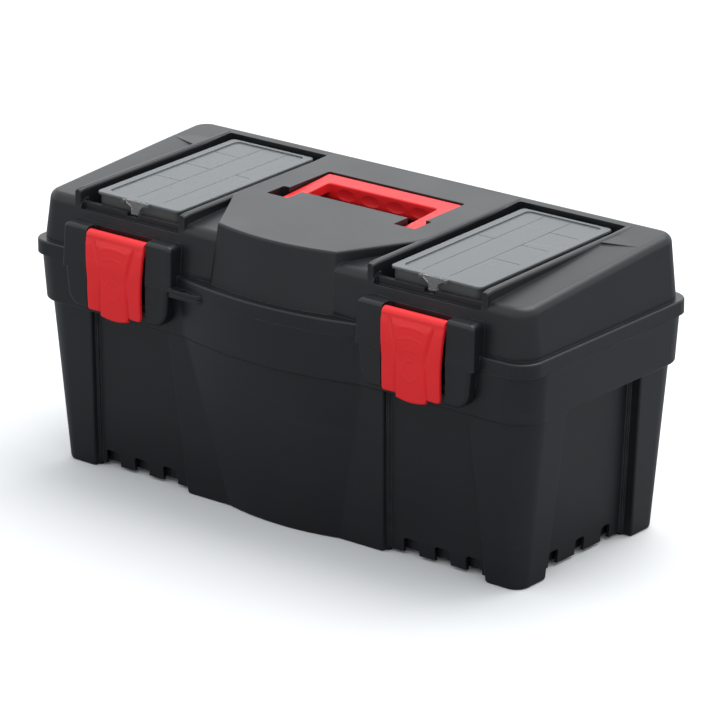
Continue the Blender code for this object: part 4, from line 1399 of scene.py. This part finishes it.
# ---- latches ----------------------------------------------------------------------------------
@dataclass
class Latch:
    """Snap latch: a roll on two trunnions and a bowed plate with a waisted field and arcs."""
    side: Side
    places: Places
    finishes: Finishes
    half: float = 33.0
    roll_r: float = 5.2
    trunnion_r: float = 2.2
    thickness: float = 3.0
    columns: int = 88
    rows: int = 84
    top: float = 229.5
    flank_low: float = 162.6
    tongue_half: float = 17.0
    tongue_drop: float = 5.6
    corner_r: float = 3.5
    taper: float = 2.4
    bow_y: float = -131.8
    waist_z: float = 195.0
    waist_half: float = 14.8
    ring_z: float = 185.5
    arcs: tuple[float, ...] = (18.5, 28.5, 38.0)

    def bow(self, z: float) -> float:
        """Y of the plate's front before its relief, at a height."""
        if z > self.waist_z:
            return self.bow_y + 2.6 * ((z - self.waist_z) / 34.5) ** 2
        return self.bow_y + 1.0 * (max(0.0, 190 - z) / 30) ** 2

    def width(self, z: float) -> float:
        """Share of the full half width at a height; the plate narrows downwards."""
        return 1 - self.taper / self.half * min(1.0, max(0.0, (226 - z) / 36))

    def bottom(self, x: float) -> float:
        """Height of the lower edge: round flanks and a lower curved tongue.

        Args:
            x: Place from the latch's middle.

        Returns:
            The height.
        """
        reach, r = abs(x), self.corner_r
        if reach <= self.tongue_half:
            return self.flank_low - self.tongue_drop + 2.4 * (reach / self.tongue_half) ** 2
        over = max(0.0, reach - (self.half - r))
        return self.flank_low + (r - math.sqrt(max(0.0, r ** 2 - over ** 2)))

    def waist(self, z: float) -> float:
        """Half width of the raised field at a height."""
        if z > self.waist_z:
            return self.waist_half + 6.6 * ((z - self.waist_z) / 31) ** 1.2
        return self.waist_half + 2.0 * ((self.waist_z - z) / 35)

    def relief(self, x: float, z: float) -> float:
        """How far the front stands out: field, creases, arcs, ring and round edges.

        Args:
            x: Place from the latch's middle.
            z: Height.

        Returns:
            The height of the relief.
        """
        edge = self.waist(z) - abs(x)
        fade = min(1.0, max(0.0, (228 - z) / 5)) * (0.35 + 0.65 * min(1.0, abs(z - 193) / 14))
        blend = 0.5 + 0.5 * math.tanh(edge / 0.7)
        raised = 0.9 * blend * fade
        crease = -1.1 * math.exp(-((edge + 1.1) / 1.1) ** 2) * fade
        flank = 0.5 * max(0.0, min(1.0, (-edge) / 10)) * fade
        distance = math.hypot(x, z - self.ring_z)
        lines = 0.38 * math.exp(-((distance - 8.8) / 0.6) ** 2)
        if z > self.ring_z and abs(x) < self.waist(z) - 4:
            for radius in self.arcs:
                if abs(x) < 0.52 * radius:
                    lines += 0.25 * math.exp(-((distance - radius) / 0.7) ** 2)
        border = max(0.0, 1.6 - (self.half - abs(x)))
        roll_off = 1.6 - math.sqrt(max(0.0, 1.6 ** 2 - border ** 2))
        low = max(0.0, 1.4 - (z - self.bottom(x)))
        low_off = 1.4 - math.sqrt(max(0.0, 1.4 ** 2 - low ** 2))
        return raised + crease + flank + lines - min(1.5, roll_off + low_off)

    def plate(self) -> bpy.types.Object:
        """Bowed plate as a closed grid with a front and a back."""
        mid = self.side.value * self.places.latch_x
        steps = [-self.half + 2 * self.half * i / self.columns for i in range(self.columns + 1)]
        steps += [s * (self.tongue_half + d) for s in (-1, 1) for d in (-0.05, 0.05)]
        steps += [s * (self.half - d) for s in (-1, 1) for d in (0.1, 0.35)]
        xs = sorted(set(round(x, 4) for x in steps))
        front, back = [], []
        for j in range(self.rows + 1):
            share = j / self.rows
            for x in xs:
                low = self.bottom(x)
                z = self.top + (low - self.top) * share
                y, wide = self.bow(z), self.width(z)
                front.append((mid + x * wide, y - max(self.relief(x, z), -1.6), z))
                taper = 0.8 * max(0.0, 1 - (z - low) / 3)
                back.append((mid + x * wide, y + self.thickness - taper, z))
        wide, count = len(xs), len(front)
        faces = []
        for j in range(self.rows):
            for i in range(wide - 1):
                a = j * wide + i
                faces.append((a, a + 1, a + wide + 1, a + wide))
                faces.append((count + a, count + a + wide, count + a + wide + 1, count + a + 1))
        rim = list(range(wide)) + [j * wide + wide - 1 for j in range(1, self.rows + 1)]
        rim += [self.rows * wide + i for i in range(wide - 2, -1, -1)]
        rim += [j * wide for j in range(self.rows - 1, 0, -1)]
        for a, b in zip(rim, rim[1:] + rim[:1]):
            faces.append((a, b, count + b, count + a))
        return make_object("plate", front + back, faces)

    def build(self) -> None:
        """Build the latch and give it to the frame."""
        mid, (y, z) = self.side.value * self.places.latch_x, self.places.latch_axis
        latch = self.plate()
        roll = rod("roll", (mid - self.half, mid + self.half), (y, z), self.roll_r, 1.4, 48)
        trunnions = rod("trunnions", (mid - self.half - 4, mid + self.half + 4), (y, z), self.trunnion_r,
                        0.4)
        hook = rounded([(-129.9, 164.4, 0, 0), (-125.0, 164.6, 0.5, 2), (-125.0, 165.8, 0.5, 2),
                        (-129.9, 168.5, 0, 0)])
        web = rounded([(-129.6, 221.0, 0, 0), (-127.0, 221.0, 2, 3), (y + 1.0, z - 3.5, 1, 2),
                       (y - 3.0, z, 0, 0)])
        join(latch, roll, trunnions, across("hook", hook, (mid - 28, mid + 28), 0.3),
             across("web", web, (mid - self.half + 0.5, mid + self.half - 0.5)))
        hand_in(dress(latch, "latch_plate_" + self.side.word, self.finishes.red, math.radians(50)),
                "latch_" + self.side.word, "red_plastic", "latch_" + self.side.word)


# ---- carry handle -----------------------------------------------------------------------------
@dataclass
class Handle:
    """Fold-down handle with a deep grip and finger dimples."""
    places: Places
    finishes: Finishes
    rows: RowMaker
    half: float = 74.0
    arm: float = 13.5
    back: float = 56.5
    grip: float = 17.5
    edge: float = 1.2
    dimple_pitch: float = 27.5

    def top(self, _x: float, y: float) -> float:
        """Height of the handle's upper face, which rises to the grip."""
        axis_y, axis_z = self.places.handle_axis
        share = min(1.0, max(0.0, (y - axis_y) / (self.back - axis_y)))
        return axis_z + 4.6 + share * 5.7

    def build(self) -> None:
        """Build the handle and give it to the frame."""
        y, z = self.places.handle_axis
        inner, front = self.half - self.arm, self.back - self.grip
        tip = y - 4.5
        corners: list[Corner] = [(-self.half, tip, 1.5, 3), (-inner, tip, 1.5, 3), (-inner, front, 3.0, 5),
                                 (inner, front, 3.0, 5), (inner, tip, 1.5, 3), (self.half, tip, 1.5, 3),
                                 (self.half, self.back, 2.5, 5), (-self.half, self.back, 2.5, 5)]
        plan = rounded(corners)
        levels = [(0.8, 9.4), (0.0, 8.6), (0.0, self.edge)] + rounding(self.edge, 3)[1:]
        handle = loft("handle", below(plan, self.top, levels))
        section = rounded([(front + 0.1, 249, 3, 4), (front + 3, 245, 2, 4), (self.back - 5, 245, 3, 4),
                           (self.back - 0.1, 250, 3, 4), (self.back - 0.1, 261, 0, 0),
                           (front + 0.1, 260, 0, 0)])
        join(handle, across("grip", section, (-self.half + 0.1, self.half - 0.1), 1.6))
        for side in Side:
            pin = spread(0, side.value * (inner + 2), side.value * (self.half + 10.4))
            join(handle, rod("trunnion", pin, (y, z), 3.0, 0.5))
        pitch = self.dimple_pitch
        dimples = self.rows.make(RowKind.DIMPLE, "dimples", self.finishes.red, count=4, radius=0.0145,
                                 first=(-1.5 * pitch * MM, (front - 2.9) * MM, 0.2545),
                                 step=(pitch * MM, 0.0, 0.0), turn=(0.0, 0.0, 0.0), stretch=(1.0, 0.30, 0.50))
        cut(handle, dimples)
        hand_in(dress(handle, "handle_bail", self.finishes.red), "handle", "red_plastic", "carry_handle")


# ---- organizers -------------------------------------------------------------------------------
@dataclass
class Organizer:
    """Small-parts box with a clear hinged cover and a clip."""
    side: Side
    places: Places
    finishes: Finishes
    half: float = 46.0
    front: float = -97.4
    back: float = 83.0
    floor: float = 236.4
    wall: float = 1.6
    cover_half: float = 47.75
    cover_y: tuple[float, float] = (-98.7, 88.3)
    cover_top: tuple[float, float] = (259.8, 263.2)
    cover_t: float = 2.4
    lanes: tuple[float, float] = (-20.3, 8.2)
    knuckle_x: float = 28.0
    recess: float = 1.0
    cover_edge: float = 0.9
    line_depth: float = 0.32
    line_half: float = 0.27
    cross_walls: tuple[tuple[float, ...], tuple[float, ...]] = ((10.03,), (-31.0, 10.0, 50.5))

    @property
    def mid(self) -> float:
        """X of the organizer's middle."""
        return self.side.value * self.places.organizer_x

    def top(self, _x: float, y: float) -> float:
        """Height of the cover's upper face."""
        share = (y - self.cover_y[0]) / (self.cover_y[1] - self.cover_y[0])
        return self.cover_top[0] + share * (self.cover_top[1] - self.cover_top[0])

    def seat(self, x: float, y: float) -> float:
        """Height of the box's rim under its cover."""
        return self.top(x, y) - self.cover_t - 0.4

    def build_box(self) -> None:
        """Build the box with its lane walls and hinge ears."""
        mid, w = self.mid, self.wall
        outer = rounded_rect((mid - self.half, mid + self.half), (self.front, self.back), 6.0)
        inner = rounded_rect((mid - self.half + w, mid + self.half - w), (self.front + w, self.back - w), 4.4)
        box = upright("box", outer, self.floor, self.seat, 0.4)
        cut(box, upright("room", inner, self.floor + w, ABOVE))
        for lane in self.lanes:
            x = mid + self.side.value * lane
            lane_plan = [(x - 0.6, self.front + 1), (x + 0.6, self.front + 1), (x + 0.6, self.back - 1),
                         (x - 0.6, self.back - 1)]
            join(box, upright("lane", lane_plan, self.floor + 0.5, lambda px, py: self.seat(px, py) - 0.8))
        hy, hz = self.places.organizer_hinge
        for knuckle in (-1, 1):
            centre = mid + knuckle * self.knuckle_x
            for edge in (-1, 1):
                lane = spread(centre, edge * 6.5, edge * 10.5)
                join(box, rod("ear", lane, (hy, hz), 2.0, 0.3, 24),
                     block("foot", lane, (self.back - 1, hy), (hz - 2.0, hz + 1.4)))
            join(box, rod("pin", (centre - 8, centre + 8), (hy, hz), 0.9, 0, 16))
        word = self.side.word
        hand_in(dress(box, "organizer_tray_" + word, self.finishes.grey), "organizer_" + word,
                "grey_plastic", "organizer_box_" + word)
        for number in range(1, 5):
            refinish("organizer_divider_%s_%d" % (word, number), self.finishes.grey)

    def build_cover(self) -> None:
        """Build the clear cover with its sunk field, knuckles and clip ears."""
        mid, half, (y0, y1) = self.mid, self.cover_half, self.cover_y
        plan = rounded_rect((mid - half, mid + half), (y0, y1), 5.0, 12)
        levels = [(0.3, self.cover_t), (0.0, self.cover_t - 0.3)] + rounding(self.cover_edge, 3)
        cover = loft("cover", below(plan, self.top, levels))
        field_plan = rounded_rect((mid - half + 8.2, mid + half - 8.2), (y0 + 7.6, y1 - 4.4), 5.0, 8)
        cut(cover, upright("field", field_plan, lambda x, y: self.top(x, y) - self.recess, ABOVE))
        self.score(cover)
        hy, hz = self.places.organizer_hinge
        for knuckle in (-1, 1):
            centre = mid + knuckle * self.knuckle_x
            lane = (centre - 6, centre + 6)
            join(cover, join(rod("barrel", lane, (hy, hz), 2.1, 0.2, 24),
                             block("tab", lane, (hy - 1.6, y1 - 0.2), (hz, self.top(0, y1) - 1))))
            cut(cover, rod("bore", (centre - 7, centre + 7), (hy, hz), 1.3, 0, 16))
        cy, cz = self.places.clip_axis
        for edge in (-1, 1):
            join(cover, block("ear", spread(mid, edge * 11.6, edge * 14.6), (cy - 1.6, y0 + 1.5),
                              (cz - 1.8, cz + 0.7)))
        cut(cover, rod("bore", (mid - 14, mid + 14), (cy, cz), 1.0, 0, 16))
        hand_in(dress(cover, "organizer_cover_" + self.side.word, self.finishes.cover),
                "organizer_%s_lid" % self.side.word, "clear_plastic", "organizer_lid_" + self.side.word)

    def score(self, cover: bpy.types.Object) -> None:
        """Cut the fine seating lines over the lane walls and the cross walls.

        Args:
            cover: The cover.
        """
        mid, s, depth, half = self.mid, self.side.value, self.line_depth, self.line_half
        reach, (front, back) = self.cover_half - 10.5, (self.cover_y[0] + 9.5, self.cover_y[1] - 6.5)
        lines = [((s * lane, s * lane), (front, back)) for lane in self.lanes]
        lines += [((-s * reach, s * (self.lanes[0] + 0.1)), (y, y)) for y in self.cross_walls[0]]
        lines += [((s * (self.lanes[1] - 0.1), s * reach), (y, y)) for y in self.cross_walls[1]]
        for (x0, x1), (y0, y1) in lines:
            low, high = mid + min(x0, x1) - half, mid + max(x0, x1) + half
            plan = [(low, y0 - half), (high, y0 - half), (high, y1 + half), (low, y1 + half)]
            cut(cover, upright("line", plan, lambda px, py: self.top(px, py) - self.recess - depth,
                               lambda px, py: self.top(px, py) + 1.0))

    def build_clip(self) -> None:
        """Build the clear clip: a flared head, a tongue and a pivot pin."""
        mid, (cy, cz) = self.mid, self.places.clip_axis
        left: list[Corner] = [(-11.2, cz + 1.2, 0.6, 2), (-11.2, cz - 1.2, 0.8, 2), (-4.6, cz - 5.0, 1.5, 3),
                              (-4.6, 247.4, 0.8, 2)]
        plan = rounded(left + mirrored(left))
        rings = []
        for y, edge in ((cy + 1.4, 0.3), (cy + 1.1, 0.0), (cy - 0.5, 0.0), (cy - 0.9, 0.4)):
            rings.append([(mid + px, y, pz) for px, pz in inset(plan, edge)])
        clip = loft("clip", rings)
        lip = rounded([(cy - 0.6, 249.6, 0.2, 1), (cy - 1.5, 249.0, 0.3, 2), (cy - 1.5, 248.2, 0.3, 2),
                       (cy - 0.6, 247.6, 0.2, 1)])
        join(clip, rod("pin", (mid - 13.6, mid + 13.6), (cy, cz), 0.7, 0.1, 16),
             across("lip", lip, (mid - 4, mid + 4)))
        hand_in(dress(clip, "organizer_catch_" + self.side.word, self.finishes.clear),
                "organizer_%s_clip" % self.side.word, "clear_plastic", "organizer_clip_" + self.side.word)

    def build(self) -> None:
        """Build the box, its cover and its clip."""
        self.build_box()
        self.build_cover()
        self.build_clip()


# ---- lift-out tray ----------------------------------------------------------------------------
@dataclass
class Tray:
    """Lift-out tray with a grip bridge, divider guides and two dividers."""
    plan: BoxPlan
    finishes: Finishes
    rows: RowMaker
    step: float = 156.5
    depth: float = 42.0
    bowl: tuple[float, float] = (251.0, 99.0)
    wall: float = 2.2
    low_inset: float = 5.0
    margin: float = 5.8
    divider_x: float = 150.0

    def build(self) -> None:
        """Build the tray and its dividers and give them to the frame."""
        rim_x, rim_y = self.plan.half_x - self.margin, self.plan.half_y - self.margin
        (bx, by), w, top = self.bowl, self.wall, self.step
        low, bottom = self.low_inset, top - self.depth
        bowl = [(low + w + 2, 12, bottom + w), (low + w, 14, bottom + w + 1.5), (w, 18, top + 1.4),
                (w - 1.0, 19, top + 2.4)]
        rim = [(0.8, 25.2, top + 2.4), (0.0, 26, top + 1.7), (0.0, 26, top + 0.4)]
        outside = [(0.0, 20, top + 0.4), (low, 16, bottom + 2), (low + 2, 14, bottom)]
        rings = []
        for half_x, half_y, levels in ((bx, by, bowl), (rim_x, rim_y, rim), (bx, by, outside)):
            for inwards, radius, z in levels:
                x, y = half_x - inwards, half_y - inwards
                rings.append(at(rounded_rect((-x, x), (-y, y), radius, 10), z))
        tray = loft("tray", rings)
        spine = block("spine", (-70, 70), (-1.5, 1.5), (bottom + 1, top + 30))
        window = self.rows.make(RowKind.GATE, "window", self.finishes.tray, count=1, width=0.110,
                                height=0.029, length=0.012, corner=0.006,
                                first=(0.0, 0.006, (top + 6.5) * MM), step=(0.0, 0.0, 0.01),
                                turn=(math.pi / 2, 0.0, 0.0))
        grip = rod("grip", (-66, 66), (0, top + 28), 6.0, 2.0, 40)
        join(tray, join(cut(spine, window), grip))
        for side in Side:
            for y in (-1, 1):
                for edge in (-1, 1):
                    lane = spread(side.value * self.divider_x, edge * 1.2, edge * 3.0)
                    join(tray, block("guide", lane, spread(0, y * 84, y * (by - low - 0.5)),
                                     (bottom + 1, top - 4)))
        hand_in(dress(tray, "tray_shell", self.finishes.tray), "tray", "black_plastic", "tool_tray")
        for side in Side:
            reach, x = by - low - w - 0.5, side.value * self.divider_x
            right: list[Corner] = [(reach, bottom + w + 1.8, 3, 4), (reach + 1.5, top - 6, 2, 3)]
            left = mirrored(right)
            plate = across("divider", rounded(left[-1:] + right + left[:-1]), (x - 0.8, x + 0.8), 0.3, 2)
            hand_in(dress(plate, "tray_wall_" + side.word, self.finishes.grey), "tray", "grey_plastic",
                    "tray_divider_" + side.word)


# ---- studio -----------------------------------------------------------------------------------
@dataclass
class Studio:
    """Pale floor, soft light and the camera."""
    camera_place: tuple[float, float, float] = (2.350, -2.930, 1.465)
    target: tuple[float, float, float] = (0.0, 0.0, 0.13)
    lens: float = 228.1
    shift: tuple[float, float] = (0.0072, -0.0118)
    floor_half: float = 12000.0

    def add_floor(self) -> None:
        """Wide pale floor, which gives the box a dimmer light than it shows."""
        size = self.floor_half
        floor = make_object("floor", [(-size, -size, 0), (size, -size, 0), (size, size, 0), (-size, size, 0)],
                            [(0, 1, 2, 3)])
        made = bpy.data.materials.new("floor_finish")
        made.use_nodes = True
        sheet = NodeSheet(made.node_tree)
        shader = made.node_tree.nodes["Principled BSDF"]
        shader.inputs["Roughness"].default_value = 0.9
        shader.inputs["Specular IOR Level"].default_value = 0.1
        noise = sheet.add("ShaderNodeTexNoise")
        noise.inputs["Scale"].default_value = 2.0
        sheet.wire(sheet.add("ShaderNodeTexCoord").outputs["Object"], noise.inputs["Vector"])
        pale = Finish.mix(sheet, noise.outputs["Fac"], (0.90, 0.90, 0.90), (0.92, 0.92, 0.92))
        seen = sheet.add("ShaderNodeLightPath").outputs["Is Camera Ray"]
        sheet.wire(Finish.mix(sheet, seen, (0.27, 0.27, 0.28), pale), shader.inputs["Base Color"])
        floor.data.materials.append(made)

    def add_light(self, name: str, place: tuple[float, float, float], aim: tuple[float, float, float],
                  size: float, power: float) -> None:
        """Add a square soft light.

        Args:
            name: Name of the light.
            place: Where it is, in metres.
            aim: Point that it faces, in metres.
            size: Length of its edges in metres.
            power: Power in watts.
        """
        data = bpy.data.lights.new(name, "AREA")
        data.size = size
        data.energy = power
        light = bpy.data.objects.new(name, data)
        light.location = place
        light.rotation_euler = (Vector(aim) - Vector(place)).to_track_quat("-Z", "Y").to_euler()
        bpy.context.scene.collection.objects.link(light)

    def add_world(self, strength: float) -> None:
        """Add even pale surroundings.

        Args:
            strength: Brightness of the surroundings.
        """
        world = bpy.data.worlds.new("surroundings")
        world.use_nodes = True
        shade = world.node_tree.nodes["Background"]
        shade.inputs["Color"].default_value = (0.94, 0.975, 1.0, 1.0)
        shade.inputs["Strength"].default_value = strength
        bpy.context.scene.world = world

    def build(self) -> None:
        """Build the studio and set the camera."""
        self.add_floor()
        self.add_world(1.0)
        self.add_light("top_light", (0.2, 0.9, 2.4), (0.0, 0.0, 0.1), 2.0, 40.0)
        self.add_light("horizon_light", (-2.5, 3.1, 1.2), (0.0, 0.0, 0.25), 2.1, 8.0)
        camera = bpy.data.cameras.new("camera")
        camera.lens = self.lens
        camera.sensor_width = 36.0
        camera.shift_x, camera.shift_y = self.shift
        camera.clip_end = 50.0
        holder = bpy.data.objects.new("camera", camera)
        holder.location = self.camera_place
        look = Vector(self.target) - Vector(self.camera_place)
        holder.rotation_euler = look.to_track_quat("-Z", "Y").to_euler()
        bpy.context.scene.collection.objects.link(holder)
        bpy.context.scene.camera = holder
        bpy.context.scene.view_settings.view_transform = "Standard"


def main() -> None:
    """Build every sub-assembly in order, then the studio."""
    logging.basicConfig(level=logging.INFO, format="%(name)s: %(message)s")
    places, finishes, rows = Places(), Finishes(), RowMaker()
    plan = BoxPlan(half_x=places.half_x, half_y=places.back)
    Tub(places, finishes, rows, plan).build()
    Lid(places, finishes, rows, plan).build()
    Tray(plan, finishes, rows).build()
    Handle(places, finishes, rows).build()
    for side in Side:
        Latch(side, places, finishes).build()
        Organizer(side, places, finishes).build()
    Studio().build()


if __name__ == "__main__":
    main()
